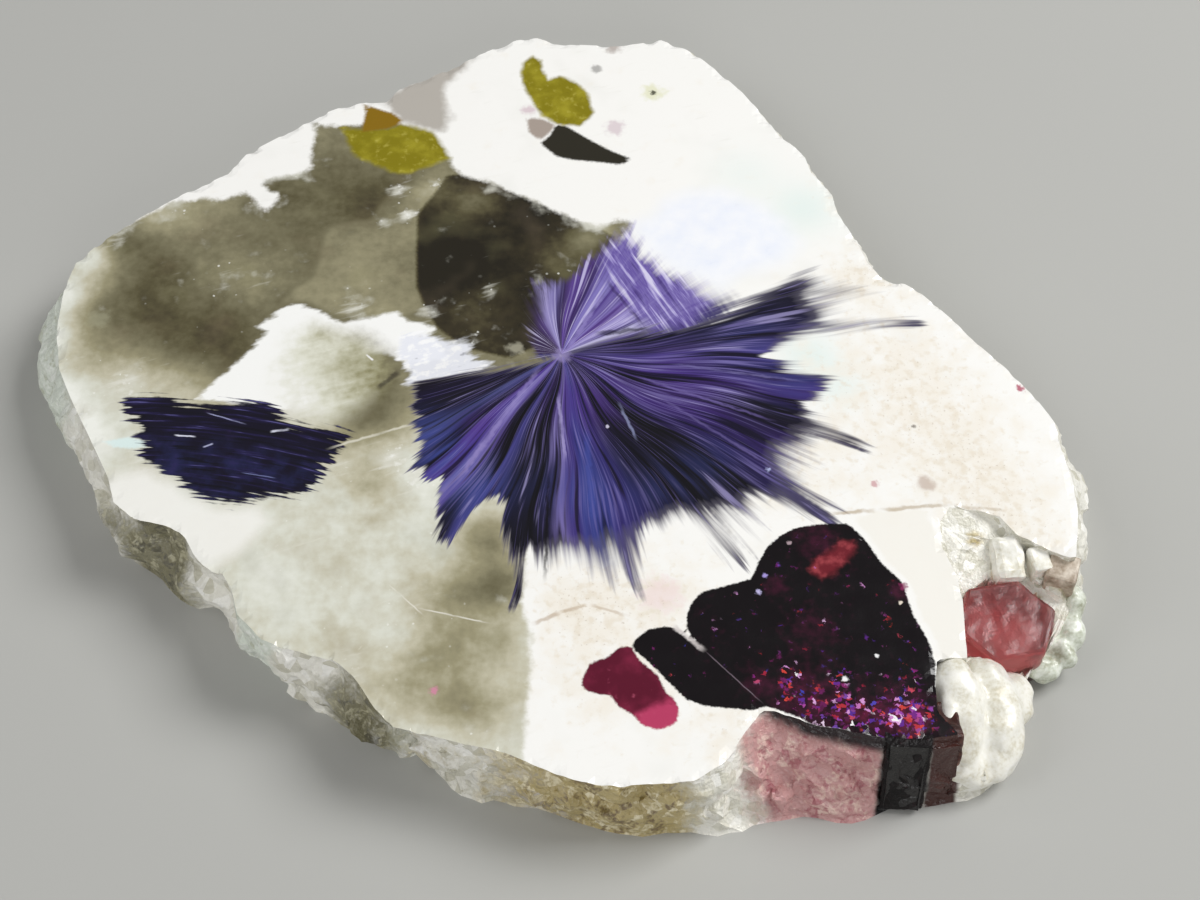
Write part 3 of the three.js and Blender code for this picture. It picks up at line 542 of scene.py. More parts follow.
def shared_fields(at):
    """What several looks share: noise of about -1 to 1 in several sizes, and the slab's own numbers."""
    sizes = (("grit", 0.38, 1), ("grain", 1.1, 3), ("cloud", 2.8, 4), ("drift", 8, 2))
    fields = {name: ripple(at, size, 1, detail, "2D") for name, size, detail in sizes}
    turned = add("Mapping", {"Vector": at, "Rotation": (0, 0, math.radians(20)), "Scale": (5, 0.9, 1)},
                 vector_type="TEXTURE")
    fields["streak"] = ripple(turned.outputs[0], 1.0, 1, 3, "2D")
    for name in (*CLOUDS, "quartz", "lower_spray", "upper_spray"):
        fields[name] = add("Attribute", attribute_name=name).outputs["Fac"]
    return fields


# The polished face in zones: left, front, right and back limits, mm. Each zone has the same look, with only
# the marks that reach it, which keeps a render quick.
ZONES = {
    "left": (-70, -70, -17, 70), "back": (-17, 22, 70, 70), "front": (-17, -70, 70, -36),
    "middle": (-17, -36, 12, 22), "right": (12, -36, 70, 22),
}
ZONE_MARGIN = 3.0

# Marks on the face from the lowest to the topmost: outline, how its edge wanders, its softness in mm, how
# strong it is, and its colour or the function that mixes it
FACE_LAYERS = [
    ("blue_crystal", "misty", 2.0, 0.95, "pale_blue_quartz"),
    ("white_strip", "ragged", 0.3, 0.8, "#f5f2e9"),
    ("grey_back", "misty", 0.8, 0.85, "#a7a096"),
    ("quartz", "frosty", 0.5, 1.0, "smoky_quartz"),
    ("white_back", "frosty", 1.4, 0.92, "#f6f5ef"),
    ("arrow", "streaky", 0.35, 1.0, "#fbfbf8"),
    ("lump", "frosty", 2.0, 0.95, "milky_lump"),
    ("burst", "brushed", 0.5, 0.92, "frosted_burst"),
    ("grey_wedge", "fine", 0.3, 1.0, "#a99c92"),
    ("slot", "fine", 0.25, 1.0, "#2b281e"),
    ("yellow_left", "ragged", 0.5, 1.0, "yellow_inclusion"),
    ("amber", "fine", 0.3, 1.0, "#8a6a0b"),
    ("yellow_back", "ragged", 0.4, 1.0, "yellow_inclusion"),
    ("lens", "fine", 0.25, 0.9, "#dff2f0"),
    ("bundle", "bundle", 0.3, 1.0, "indigo_bundle"),
    ("upper_spray", "", 0.3, 1.0, "upper_spray"),
    ("lower_spray", "", 0.3, 1.0, "lower_spray"),
    ("crimson", "fine", 0.15, 1.0, "crimson_crystals"),
    ("plum", "fine", 0.12, 1.0, "plum_crystal"),
]


def reaches(points, zone):
    """Whether marks between the points can touch a zone."""
    left, front, right, back = zone
    across, along = zip(*points)
    return (max(across) > left - ZONE_MARGIN and min(across) < right + ZONE_MARGIN
            and max(along) > front - ZONE_MARGIN and min(along) < back + ZONE_MARGIN)


def polished_pegmatite(zone_name):
    """Pegmatite polished flat: a wet gloss over white feldspar, smoky quartz and dark micas."""
    zone = ZONES[zone_name]
    material, at = new_material("polished pegmatite " + zone_name)
    fields = shared_fields(at)
    ragged = product(fields["grain"], 0.32)
    wobbles = {
        "ragged": ragged, "misty": product(fields["cloud"], 1.1), "fine": product(fields["grit"], 0.12),
        "frosty": summed(ragged, product(fields["cloud"], 0.7), product(fields["grit"], 0.15)),
        "streaky": summed(ragged, product(fields["streak"], 0.5)),
        "brushed": summed(ragged, product(fields["streak"], 1.3)),
    }
    colours = {"frosted_burst": frosted_burst(fields), "yellow_inclusion": yellow_inclusion(fields),
               "smoky_quartz": smoky_quartz(at, fields), "crimson_crystals": crimson_crystals(fields),
               "milky_lump": milky_lump(at, fields),
               "plum_crystal": plum_crystal(at, fields), "pale_blue_quartz": pale_blue_quartz(fields)}
    colours["indigo_bundle"], wobbles["bundle"] = indigo_bundle(at, fields)
    edges = {}
    spray = violet_spray(at, fields)
    colours["lower_spray"], edges["lower_spray"], colours["upper_spray"], edges["upper_spray"] = spray
    layers = []
    for name, wobble, soft, most, colour in FACE_LAYERS:
        if reaches(OUTLINES[name], zone):
            mask = edges[name] if name in edges else region(name, wobbles[wobble], soft, 0, most)
            layers.append((mask, colours.get(colour, colour)))
    for x, y, radius, colour, amount in SPOTS:
        if reaches([(x, y)], zone):
            layers.append((spot(at, fields, x, y, radius, amount), colour))
    for start, end, width, colour, amount in CRACKS:
        if reaches([start, end], zone):
            layers.append((crack(at, fields, start, end, width, amount), colour))
    gloss = {"Value": fields["cloud"], "From Min": -1.0, "From Max": 1.0, "To Min": 0.12, "To Max": 0.26}
    polish = add("MapRange", gloss).outputs["Result"]
    height = summed(product(fields["grain"], 0.6), product(fields["grit"], 0.4))
    pits = add("Bump", {"Height": height, "Strength": 0.35, "Distance": 0.02 * MM})
    surface({"Base Color": painted(polished_feldspar(fields), layers), "Roughness": polish,
             "Normal": pits.outputs[0], "IOR": QUARTZ_IOR})
    return material


# Small marks on the face, a few of them painted glints: middle, radius in mm, colour and how strong they are
SPOTS = [
    (53.6, -4.4, 0.55, "#b03a5c", 0.85), (36, -18, 0.5, "#c88a92", 0.7), (41.6, -18, 1.0, "#b59c8c", 0.6),
    (41, -10, 0.25, "#6d655c", 0.8), (13, 44.7, 1.6, "#dfe0b0", 0.6), (13, 44.7, 0.45, "#3a3a2a", 0.9),
    (5.6, 49.2, 0.8, "#8f8d8a", 0.7), (8, 53.4, 1.1, "#a2938a", 0.7), (-10.5, -44, 0.5, "#d98aa8", 0.8),
    (8, 38.2, 1.4, "#cdb6c0", 0.6), (-2.8, 41.4, 0.9, "#cdaebb", 0.6), (12.6, -32.4, 2.4, "#eed3d2", 0.5),
    (-3.5, 1.5, 1.0, "#b9b5a0", 0.6), (37.9, -31.4, 0.5, "#8a2a5c", 0.8),
    # The six specks on this line and the next two, white and pale on the plum crystal, are painted glints.
    (37.4, -33.4, 0.24, "#fff2e0", 0.8), (34.4, -39.9, 0.24, "#ffffff", 0.9),
    (30.9, -42.6, 0.34, "#ffffff", 0.9), (23.5, -30, 0.3, "#b9a8f0", 0.8),
    (22.7, -32.1, 0.3, "#d8d0ff", 0.9), (26.3, -25.8, 0.25, "#c8b0b8", 0.7),
    (1.8, 0.4, 1.1, "#a99bd6", 0.5), (7, -10, 0.22, "#cfcbe0", 0.9),
    (24.6, -16, 0.3, "#b9c0e8", 0.8), (-52, 6, 1.4, "#a7a68c", 0.4),
]

# Cracks and veins, and a few painted glints: both ends, width in mm, colour and strength
CRACKS = [
    ((-1, -36.2), (2.2, -34.6), 0.35, "#b49a7c", 0.6), ((2, -34.6), (5, -33.6), 0.3, "#b49a7c", 0.55),
    ((5, -33.6), (9.4, -35.2), 0.25, "#b79f84", 0.45), ((30.6, -22), (36, -21.5), 0.4, "#a98f63", 0.6),
    ((36, -21.5), (44.4, -20.7), 0.4, "#b09a78", 0.6), ((44, -20.8), (50, -21.6), 0.3, "#b09a78", 0.5),
    ((-13, -34), (-5, -36), 0.14, "#e9e6da", 0.8), ((-24, -13.2), (-14, -9.4), 0.25, "#dcd8c8", 0.8),
    ((-16, -31), (-12, -35), 0.12, "#efece2", 0.6), ((16.8, -39.2), (22.6, -45.6), 0.1, "#8a7a86", 0.6),
    # The last streak on the next line and the four after it, pale streaks on the indigo bundle, are painted
    # glints: highlights along its fibres.
    ((13.6, -36.1), (17, -39.4), 0.4, "#cfc8c6", 0.9), ((-41, -11.2), (-38.4, -11.5), 0.16, "#e8eafa", 0.9),
    ((-30.4, -10.7), (-28.2, -10.4), 0.22, "#e8eafa", 0.9),
    ((-33, -16.4), (-29, -17.2), 0.1, "#7f86b8", 0.7), ((-37.8, -8), (-33, -9.7), 0.12, "#a9acd4", 0.8),
    ((-37.6, -12.9), (-36.4, -12.4), 0.16, "#b9bcdc", 0.8),
    ((-16.4, -1.8), (-19, -4.6), 0.5, "#3f3a2f", 0.75), ((-20.6, 0.6), (-19.6, -0.4), 0.2, "#ffffff", 0.9),
    ((8.2, -6.4), (10.4, -12.2), 0.25, "#8d93b8", 0.7), ((1.5, -5), (2.4, -15), 0.3, "#a79cd0", 0.7),
    ((0.6, -16), (0.4, -31), 0.3, "#0c0a12", 0.8), ((5.4, 3.6), (12.2, 4.6), 0.5, "#15121f", 0.7),
    ((6.8, 12.2), (11.4, 4.6), 0.3, "#3a2a60", 0.7), ((2.2, 0.6), (6.8, 10.6), 0.5, "#9487c6", 0.7),
    ((-0.2, -0.6), (-9.8, -18.4), 0.45, "#9184c0", 0.75), ((10, -2.6), (26, -9.4), 0.25, "#7b6cae", 0.5),
    ((14, -0.8), (30, -3.6), 0.25, "#7d76ac", 0.5), ((12, -5), (29, -19), 0.25, "#6f639c", 0.5),
    ((4.6, -10), (5.6, -24), 0.5, "#4450a0", 0.5),
]


def spot(at, fields, x, y, radius, most):
    """A mask for one small ragged mark."""
    away = add("VectorMath", {0: at, 1: (x, y, THICKNESS)}, operation="DISTANCE").outputs["Value"]
    ragged = product(fields["grit" if radius < 0.7 else "grain"], radius * 0.7)
    return over_limit(summed(away, ragged), radius * 1.3, radius * 0.4, most)


def crack(at, fields, start, end, width, most):
    """A mask along a straight line between two points, a little wavy and broken, tapered to its ends."""
    along = Vector(end) - Vector(start)
    turn = math.atan2(along.y, along.x)
    placed = add("Mapping", {"Vector": at, "Location": (*start, 0), "Rotation": (0, 0, turn)},
                 vector_type="TEXTURE")
    place = add("SeparateXYZ", {0: placed.outputs[0]})
    side = summed(place.outputs["Y"], product(fields["grain"], min(0.35, width * 0.7)))
    away = add("Math", {0: side}, operation="ABSOLUTE").outputs[0]
    middle = summed(place.outputs["X"], -along.length / 2)
    from_middle = add("Math", {0: middle}, operation="ABSOLUTE").outputs[0]
    ends = over_limit(from_middle, along.length * 0.52, along.length * 0.3, most)
    broken = over_limit(fields["cloud"], -0.7, 0.1)
    return product(over_limit(away, width, width * 0.2), product(ends, broken))


def pale_blue_quartz(fields):
    """Quartz so pale a blue that it looks white, with a little more blue in its clouds."""
    return add("ValToRGB", {"Fac": summed(product(fields["cloud"], 0.5), 0.5)}, stops=[
        (0.0, "#dbe2f6"), (0.3, "#f0f4fe"), (1.0, "#ffffff")]).outputs[0]


def frosted_burst(fields):
    """White mica seen on edge: icy flakes with small grey gaps."""
    return painted("#eceef6", [
        (over_limit(summed(fields["grain"], fields["streak"]), 0.0, 0.5, 0.9), "#ffffff"),
        (over_limit(summed(fields["streak"], product(fields["grain"], 0.5)), -0.35, -0.75, 0.8),
         "#777885")])


def polished_feldspar(fields):
    """White feldspar, creamy and specked with beige where it is warm and faintly green where it is cool."""
    warmth = fields["warmth"]
    clouds = over_limit(summed(fields["cloud"], warmth), 0.15, 1.3, 0.85)
    patches = over_limit(summed(fields["grain"], product(warmth, 0.6)), 0.45, 1.1, 0.7)
    grains = over_limit(summed(fields["grit"], product(warmth, 0.4)), 0.75, 1.1, 0.45)
    return painted("#fbfaf6", [
        (over_limit(fields["drift"], 0.1, 0.9, 0.4), "#e6e6df"),
        (over_limit(fields["streak"], 0.3, 0.8, 0.25), "#dedcd2"),
        (product(fields["mint"], 0.7), "#dcefea"),
        (clouds, "#f5efe3"), (patches, "#e9dfcd"), (grains, "#bfb09b")])


def smoky_quartz(at, fields):
    """Quartz from milky to smoky brown, with frosty fractures, fine cracks and bright flecks inside it."""
    ragged = product(fields["grain"], 0.3)
    fine_edge = product(fields["grit"], 0.12)
    smoke = summed(
        fields["smoke"], product(fields["drift"], 0.12), product(fields["cloud"], 0.07),
        product(fields["grain"], 0.07),
        region("window", fine_edge, 0.35, 0, 0.34), region("pale_pane", ragged, 0.5, 0, -0.1))
    quartz = add("ValToRGB", {"Fac": smoke}, stops=[
        (0.0, "#f3f4ec"), (0.15, "#dedfd2"), (0.3, "#c3bea6"), (0.45, "#9c9678"), (0.6, "#7b765c"),
        (0.75, "#5a543b"), (0.88, "#383222"), (1.0, "#231f15")]).outputs[0]
    frost = fields["frost"]
    pale_edge = {"Value": fields["quartz"], "From Min": 3.0, "From Max": 0.0, "To Max": 0.45}
    border = add("MapRange", pale_edge).outputs["Result"]
    veil = over_limit(summed(frost, border, fields["cloud"]), 0.35, 1.2, 0.85)
    drawn = over_limit(summed(frost, fields["streak"]), 0.5, 1.2, 0.7)
    crackle = over_limit(summed(frost, fields["grain"]), 0.7, 1.25, 0.8)
    cells = add("TexVoronoi", {"Vector": at, "Scale": 1 / 1.3}, voronoi_dimensions="2D")
    chance = add("SeparateColor", {0: cells.outputs["Color"]})
    away = summed(cells.outputs["Distance"], product(fields["grit"], 0.08),
                  product(chance.outputs["Green"], 0.1))
    fleck = product(over_limit(away, 0.16, 0.06, 0.7),
                    over_limit(summed(chance.outputs["Red"], product(frost, 0.5)), 0.94, 1.1))
    return painted(quartz, [
        (over_limit(fields["drift"], 0.1, 0.8, 0.22), "#8a7a63"),
        (over_limit(fields["drift"], -0.1, -0.8, 0.3), "#7f7c58"),
        (veil, "#d8d7ca"), (drawn, "#e6e5da"), (crackle, "#f4f4ee"), (fleck, "#eeeee6")])


def milky_lump(at, fields):
    """Milky quartz that clears to olive grey towards its right side."""
    place = add("SeparateXYZ", {0: at})
    rightward = add("Math", {0: place.outputs["X"], 1: 0.062, 2: 2.02}, operation="MULTIPLY_ADD").outputs[0]
    upward = product(place.outputs["Y"], 0.02)
    clear = summed(rightward, upward, product(fields["cloud"], 0.26), product(fields["grain"], 0.14),
                   product(fields["streak"], 0.12))
    return add("ValToRGB", {"Fac": clear}, stops=[
        (0.05, "#f6f6f1"), (0.35, "#e0e0d0"), (0.6, "#bebca2"), (0.82, "#96926f"),
        (1.0, "#6f6950")]).outputs[0]


def violet_spray(at, fields):
    """Fibres of mica and tourmaline that run out from one centre, with masks that feather their ends."""
    bent = add("TexNoise", {"Vector": at, "Scale": 0.08, "Detail": 0.0}, noise_dimensions="2D")
    bend = add("VectorMath", {0: bent.outputs["Color"], 1: (1.6, 1.6, 0), 2: (-0.8, -0.8, 0)},
               operation="MULTIPLY_ADD").outputs[0]
    offset = add("VectorMath", {0: at, 1: (*SPRAY_CENTRE, 0)}, operation="SUBTRACT").outputs[0]
    flat = add("VectorMath", {0: offset, 1: (1, 1, 0)}, operation="MULTIPLY").outputs[0]
    moved = add("VectorMath", {0: flat, 1: bend}, operation="ADD").outputs[0]
    reach = add("VectorMath", {0: moved}, operation="LENGTH").outputs["Value"]
    split = add("SeparateXYZ", {0: moved})
    turned = add("Math", {0: split.outputs["Y"], 1: split.outputs["X"]}, operation="ARCTAN2").outputs[0]
    wide = fibre_noise(turned, reach, 11, 1, 0.05)
    fine = fibre_noise(turned, reach, 34, 3, 0.07)
    hair = fibre_noise(turned, reach, 95, 1, 0.12)
    swing = summed(product(wide, 9.0), product(fine, 5.0))
    degrees = add("Math", {0: turned, 1: 180 / math.pi, 2: swing}, operation="MULTIPLY_ADD").outputs[0]
    full_turn = summed(degrees, 360.0)
    is_right = over_limit(full_turn, 338.5, 339.5)
    is_lower = over_limit(full_turn, 450.0, 449.0)
    lower_turn = summed(full_turn, product(over_limit(degrees, 100.0, 101.0), -360.0))
    lower = painted(ray_colour(lower_turn, LOWER_RAYS), [
        (is_right, ray_colour(full_turn, RIGHT_RAYS))])
    mixed = summed(fine, product(wide, 0.7))
    tints = [(product(fields[name], over_limit(mixed, -0.2, 0.12, 0.9)), colour) for name, colour in (
        ("purple_tint", "#50328a"), ("blue_tint", "#3c4890"), ("night_tint", "#0f0c18"))]
    pale = product(fields["glow"], over_limit(summed(mixed, hair), -0.05, 0.3, 0.9))
    lower = painted(lower, [
        *tints, (pale, "#8a7fc0"), (over_limit(mixed, 0.0, -0.26, 0.85), "#08070e"),
        (over_limit(hair, 0.1, 0.28, 0.35), "#6d639e"), (over_limit(mixed, 0.22, 0.36, 0.6), "#a49cce")])
    upper = painted(ray_colour(degrees, UPPER_RAYS), [
        (over_limit(fine, 0.0, -0.26, 0.75), "#2c2050"), (over_limit(mixed, 0.06, 0.3, 0.7), "#d2cbee")])
    blade_at = add("Mapping", {"Vector": at, "Rotation": (0, 0, math.radians(118)), "Scale": (9, 0.7, 1)},
                   vector_type="TEXTURE")
    blades = add("TexNoise", {"Vector": blade_at.outputs[0], "Scale": 1.0, "Detail": 4.0},
                 noise_dimensions="2D").outputs["Fac"]
    blade_colour = add("ValToRGB", {"Fac": blades}, stops=[
        (0.3, "#4b3a80"), (0.42, "#7768ae"), (0.5, "#6553a0"), (0.58, "#9d91ce"),
        (0.7, "#dcd7f2")]).outputs[0]
    upper = painted(upper, [
        (region("lilac_blades", product(fields["cloud"], 1.0), 1.6, 1.0, 0.9), blade_colour)])
    fade = fields["fade"]
    frayed = product(summed(product(fine, 0.9), product(hair, 0.3), wide),
                   summed(product(reach, 0.14), product(fade, 0.2), 0.6))
    depth = summed(fields["lower_spray"], frayed)
    lower_edge = over_limit(depth, -0.4, summed(fade, 0.35))
    greyed = {"Value": depth, "From Min": 0.0, "From Max": summed(product(fade, 1.8), 0.5),
              "To Min": 0.8, "To Max": 0.0}
    lower = painted(lower, [(add("MapRange", greyed).outputs["Result"], "#6f6b7a")])
    upper_depth = summed(fields["upper_spray"], product(frayed, 0.7), product(blades, 2.0), -1.0)
    upper_edge = over_limit(upper_depth, -0.8, summed(product(fade, 1.4), 0.5))
    return lower, product(lower_edge, is_lower), upper, upper_edge


def indigo_bundle(at, fields):
    """A sheaf of indigo fibres that lie nearly along X, darker and glinting in its upper half."""
    place = add("SeparateXYZ", {0: at})
    from_left = summed(place.outputs["X"], 45.0)
    sag = product(from_left, from_left, 0.008)
    level = summed(place.outputs["Y"], sag)
    lines = add("CombineXYZ", {"X": product(place.outputs["X"], 0.14), "Y": product(level, 1.9)})
    strands = add("TexNoise", {"Vector": lines.outputs[0], "Scale": 1.0, "Detail": 4.0},
                  noise_dimensions="2D").outputs["Fac"]
    low = over_limit(level, -9.0, -15.0)
    frayed = add("Math", {0: strands, 1: 4.0, 2: -2.0}, operation="MULTIPLY_ADD").outputs[0]
    wobble = summed(frayed, product(fields["grain"], 0.3))
    colour = painted("#110d20", [
        (product(low, over_limit(fields["cloud"], -0.3, 0.6, 0.75)), "#252a58"),
        (over_limit(strands, 0.5, 0.74, 0.6), "#2b2458"),
        (over_limit(fields["cloud"], 0.2, 0.9, 0.5), "#3a2458"),
        (over_limit(strands, 0.42, 0.3, 0.85), "#0b0914"),
        (over_limit(strands, 0.66, 0.76, 0.6), "#6d6aa6")])
    return colour, wobble


def plum_crystal(at, fields):
    """A near-black plum crystal with a red window, wine-red clouds and painted glints of many colours along
    its front.
    """
    stir = add("TexNoise", {"Vector": at, "Scale": 1 / 0.5, "Detail": 2.0}, noise_dimensions="2D")
    stirred = add("VectorMath", {0: stir.outputs["Color"], 1: (0.9, 0.9, 0), 2: at},
                  operation="MULTIPLY_ADD")
    cells = add("TexVoronoi", {"Vector": stirred.outputs[0], "Scale": 1 / 0.4}, voronoi_dimensions="2D")
    chance = add("SeparateColor", {0: cells.outputs["Color"]})
    # The glint band: bright specks of many colours, painted into the colour, stand for light glinting off
    # the crystal's flakes. A wine-red ground lies where they are densest.
    density = fields["painted_glint"]
    patchy = summed(density, product(fields["grain"], 0.42))
    lit = over_limit(summed(patchy, product(chance.outputs["Red"], -1)), 0.0, 0.25, 0.95)
    glint_colours = add("ValToRGB", {"Fac": chance.outputs["Green"]}, stops=[
        (0.0, "#4a1238"), (0.24, "#8c2678"), (0.4, "#4a2a96"), (0.5, "#a01f3c"), (0.62, "#d8483a"),
        (0.72, "#3446b8"), (0.82, "#b84aa8"), (0.94, "#e0a8e0"), (1.0, "#ffffff")]).outputs[0]
    wine = over_limit(summed(fields["wine"], product(fields["grain"], 0.5)), 0.1, 1.1, 0.8)
    window = painted("#741f2a", [(over_limit(fields["grain"], -0.2, 0.6, 0.8), "#b04a50")])
    return painted("#0b0509", [
        (wine, "#4a1430"), (over_limit(patchy, 0.3, 0.9, 0.55), "#7a1840"),
        (region("red_window", product(fields["grain"], 0.4), 0.5, 0, 0.9), window), (lit, glint_colours)])


def crimson_crystals(fields):
    """Small crimson crystals grown against each other, with a pink lobe."""
    return painted("#5c1029", [
        (over_limit(fields["cloud"], -0.2, 0.7, 0.7), "#8a2444"),
        (region("pink_lobe", product(fields["grain"], 0.4), 0.6, 0, 0.85), "#c4426a"),
        (over_limit(fields["grain"], 0.3, 0.8, 0.5), "#d0607e"),
        (over_limit(fields["grain"], -0.3, -0.8, 0.6), "#3c0a1c")])


def yellow_inclusion(fields):
    """Mustard yellow mica, mottled from olive to straw."""
    return painted("#857b0d", [
        (over_limit(fields["cloud"], -0.2, 0.6, 0.8), "#a89e2a"),
        (over_limit(fields["grain"], 0.1, 0.8, 0.7), "#c6bb56"),
        (over_limit(fields["grain"], -0.3, -0.9, 0.6), "#6a600a")])


# Colours of the broken walls by mineral: the main one, a light and a dark one
WALL_TINTS = {
    "frosty": ("#dde4d8", "#f2f5ee", "#b9bda6"),
    "olive": ("#7a7557", "#b9b497", "#3c3826"),
    "ochre": ("#b7a56e", "#f0e6c6", "#5f4424"),
    "rose": ("#c4908f", "#e4c4b8", "#a04a58"),
}


def broken_pegmatite():
    """Pegmatite broken by hand: sugary grains with small flat cleavages that catch the light."""
    material, at = new_material("broken pegmatite")
    grains = add("TexVoronoi", {"Vector": at, "Scale": 1 / 1.2})
    chance = add("SeparateColor", {0: grains.outputs["Color"]})
    mottle, speckle = ripple(at, 2.2, 1, 3), ripple(at, 0.45, 1, 2)
    base = add("ValToRGB", {"Fac": chance.outputs["Red"]}, stops=[
        (0.0, "#d0cdbc"), (0.35, "#e6e4d9"), (0.8, "#f2f0e7"), (1.0, "#fcfbf6")]).outputs[0]
    base = painted(base, [
        (over_limit(mottle, 0.2, 0.9, 0.6), "#bdb8a0"), (over_limit(speckle, 0.4, 0.8, 0.5), "#a59e86")])
    light = over_limit(summed(speckle, mottle, chance.outputs["Green"]), 0.6, 1.3, 0.85)
    dark = over_limit(summed(speckle, mottle, product(chance.outputs["Blue"], -1.0)), -0.6, -1.3, 0.8)
    for name, (main, pale, deep) in WALL_TINTS.items():
        own = add("Attribute", attribute_name=name).outputs["Fac"]
        amount = summed(own, product(mottle, 0.3), product(speckle, 0.15))
        tint = painted(main, [(light, pale), (dark, deep)])
        base = painted(base, [(over_limit(amount, 0.2, 0.65, 0.94), tint)])
    near_top = over_limit(add("SeparateXYZ", {0: at}).outputs["Z"], 7.4, 8.8)
    under_plum = product(region("plum", product(mottle, 0.3), 0.4, 0.7), near_top)
    wander = product(mottle, 0.3)
    base = painted(base, [
        (under_plum, "#1c0d13"), (region("maroon_part", wander, 0.3), "#43231e"),
        (region("black_part", wander, 0.3), "#0d0809")])
    height = summed(speckle, product(mottle, 0.6))
    grain = add("Bump", {"Height": height, "Strength": 0.8, "Distance": 0.12 * MM})
    surface({"Base Color": base, "Roughness": 0.36, "Normal": grain.outputs[0], "IOR": QUARTZ_IOR})
    return material


def sawn_pegmatite():
    """Pegmatite cut by a diamond saw: dull and even, with faint arcs of the blade."""
    material, at = new_material("sawn pegmatite")
    arcs = add("TexWave", {"Vector": at, "Scale": 0.35, "Distortion": 0.4}, wave_type="RINGS")
    base = painted("#cfccbf", [
        (over_limit(ripple(at, 9, 1, 3), 0, 0.8, 0.6), "#a39e8c"),
        (product(arcs.outputs["Fac"], 0.12), "#8a8575")])
    surface({"Base Color": base, "Roughness": 0.7, "IOR": QUARTZ_IOR})
    return material


def lay_attributes(mesh):
    """Writes the depth in each outline and the soft clouds to the points of a mesh."""
    points = plan_of(mesh)
    values = {name: depth_in(outline, points) for name, outline in OUTLINES.items()}
    above = 1 / (1 + np.exp(-(points[:, 1] - SMOKE_TURN) / SMOKE_SOFTNESS))
    values |= {name: soft_sum(clouds, points) for name, clouds in CLOUDS.items()}
    values["smoke"] += SMOKE_BELOW + (SMOKE_ABOVE - SMOKE_BELOW) * above
    for name, numbers in values.items():
        mesh.attributes.new(name, "FLOAT", "POINT").data.foreach_set("value", numbers.astype(np.float32))


def linked(name, bm, *materials):
    """An object made from a bmesh, in the scene and with its materials."""
    mesh = bpy.data.meshes.new(name)
    bm.to_mesh(mesh)
    bm.free()
    for material in materials:
        mesh.materials.append(material)
    made = bpy.data.objects.new(name, mesh)
    bpy.context.scene.collection.objects.link(made)
    return made


def slab():
    """The slab as one piece in place of the frame's node."""
    zones = [polished_pegmatite(name) for name in ZONES]
    piece = linked("polished_slab", slab_mesh(), broken_pegmatite(), sawn_pegmatite(), *zones)
    lay_attributes(piece.data)
    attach(piece, "root")
    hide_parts("slice")


# The crystals and growths of the broken corner that have shapes of their own. Middles and half sizes are in
# mm on the plan, a tilt about X and a turn about Z in degrees.
WHITE_FINGERS = [
    ((42.7, -44.8, 5.5), (2.9, 6.5, 3.2), 36, 4), ((42.1, -41.7, 6.8), (2.5, 3, 3.1), 12, 0),
    ((43.5, -48.4, 2.7), (3.1, 2.8, 2.2), 14, 8), ((41.5, -45.2, 5.2), (1.7, 5, 3.8), 30, 0),
    ((45, -44.4, 3.8), (2, 5, 2.6), 26, 0), ((48.8, -40.8, 2.9), (2.7, 3, 2.5), 10, 0),
    ((46.9, -43.6, 3.9), (3.0, 6.2, 3.0), 18, 6), ((45.9, -40.6, 4.6), (2.6, 3.4, 3.1), 20, 0),
    ((46.3, -47.2, 2.8), (3, 2.8, 2.2), 8, 14),
]
FROSTED_BUMPS = [
    ((56.8, -29.8, 3.5), (1.5, 2.2, 3.0), 0, 0), ((56.3, -32.6, 2.9), (1.7, 2.2, 2.5), 6, 0),
    ((55, -34.8, 2.5), (1.7, 2.1, 2.1), 0, 40), ((53.2, -36.6, 2.2), (1.9, 1.5, 1.8), 0, 20),
]
# Rounded growths: the step, mm, and rounds of smoothing that fuse them, and their lumps and relief, mm
FUSED_STEP, FUSED_ROUNDS = 0.26, 12
LARGE_LUMP, SMALL_LUMP, LUMP_RELIEF = 1.7, 0.8, 0.5
# Flat-faced crystals: the size of their unevenness and the longest edge that stays whole, mm, and the cuts
CRYSTAL_GRAIN = 1.3
LONGEST_EDGE, EDGE_CUTS, CUT_ROUNDS = 0.5, 3, 2
# The lowest and highest level that both reach, mm
FOOT_LEVEL, FACE_LEVEL = 0.05, 9.85


def on_plan(x, y, z):
    """A place on the plan as a place in the frame, in metres."""
    return Vector((x - PLAN_MIDDLE[0], y - PLAN_MIDDLE[1], z)) * MM


def placing(middle, half, tilt, turn):
    """The matrix that gives a unit shape its half sizes and puts it in its place."""
    turned = Matrix.Rotation(math.radians(turn), 4, "Z") @ Matrix.Rotation(math.radians(tilt), 4, "X")
    stretched = Matrix.Diagonal((*[part * MM for part in half], 1))
    return Matrix.Translation(on_plan(*middle)) @ turned @ stretched


def growth(name, bm, material):
    """A piece of its own that rides on the slab."""
    piece = linked(name, bm, material)
    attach(piece, "root")
    return piece


def rounded_growth(name, balls, material):
    """Stretched balls fused into one rounded skin."""
    bm = bmesh.new()
    for ball in balls:
        made = bmesh.ops.create_icosphere(bm, subdivisions=4, radius=1, matrix=placing(*ball))["verts"]
        middle = on_plan(*ball[0])
        for v in made:
            uneven = noise.noise(v.co / MM / LARGE_LUMP) + 0.5 * noise.noise(v.co / MM / SMALL_LUMP)
            v.co += (v.co - middle).normalized() * uneven * LUMP_RELIEF * MM
            v.co.z = min(max(v.co.z, FOOT_LEVEL * MM), FACE_LEVEL * MM)
    piece = growth(name, bm, material)
    fuse = piece.modifiers.new("fuse", "REMESH")
    fuse.mode, fuse.voxel_size, fuse.use_smooth_shade = "VOXEL", FUSED_STEP * MM, True
    soften = piece.modifiers.new("soften", "SMOOTH")
    soften.factor, soften.iterations = 0.5, FUSED_ROUNDS


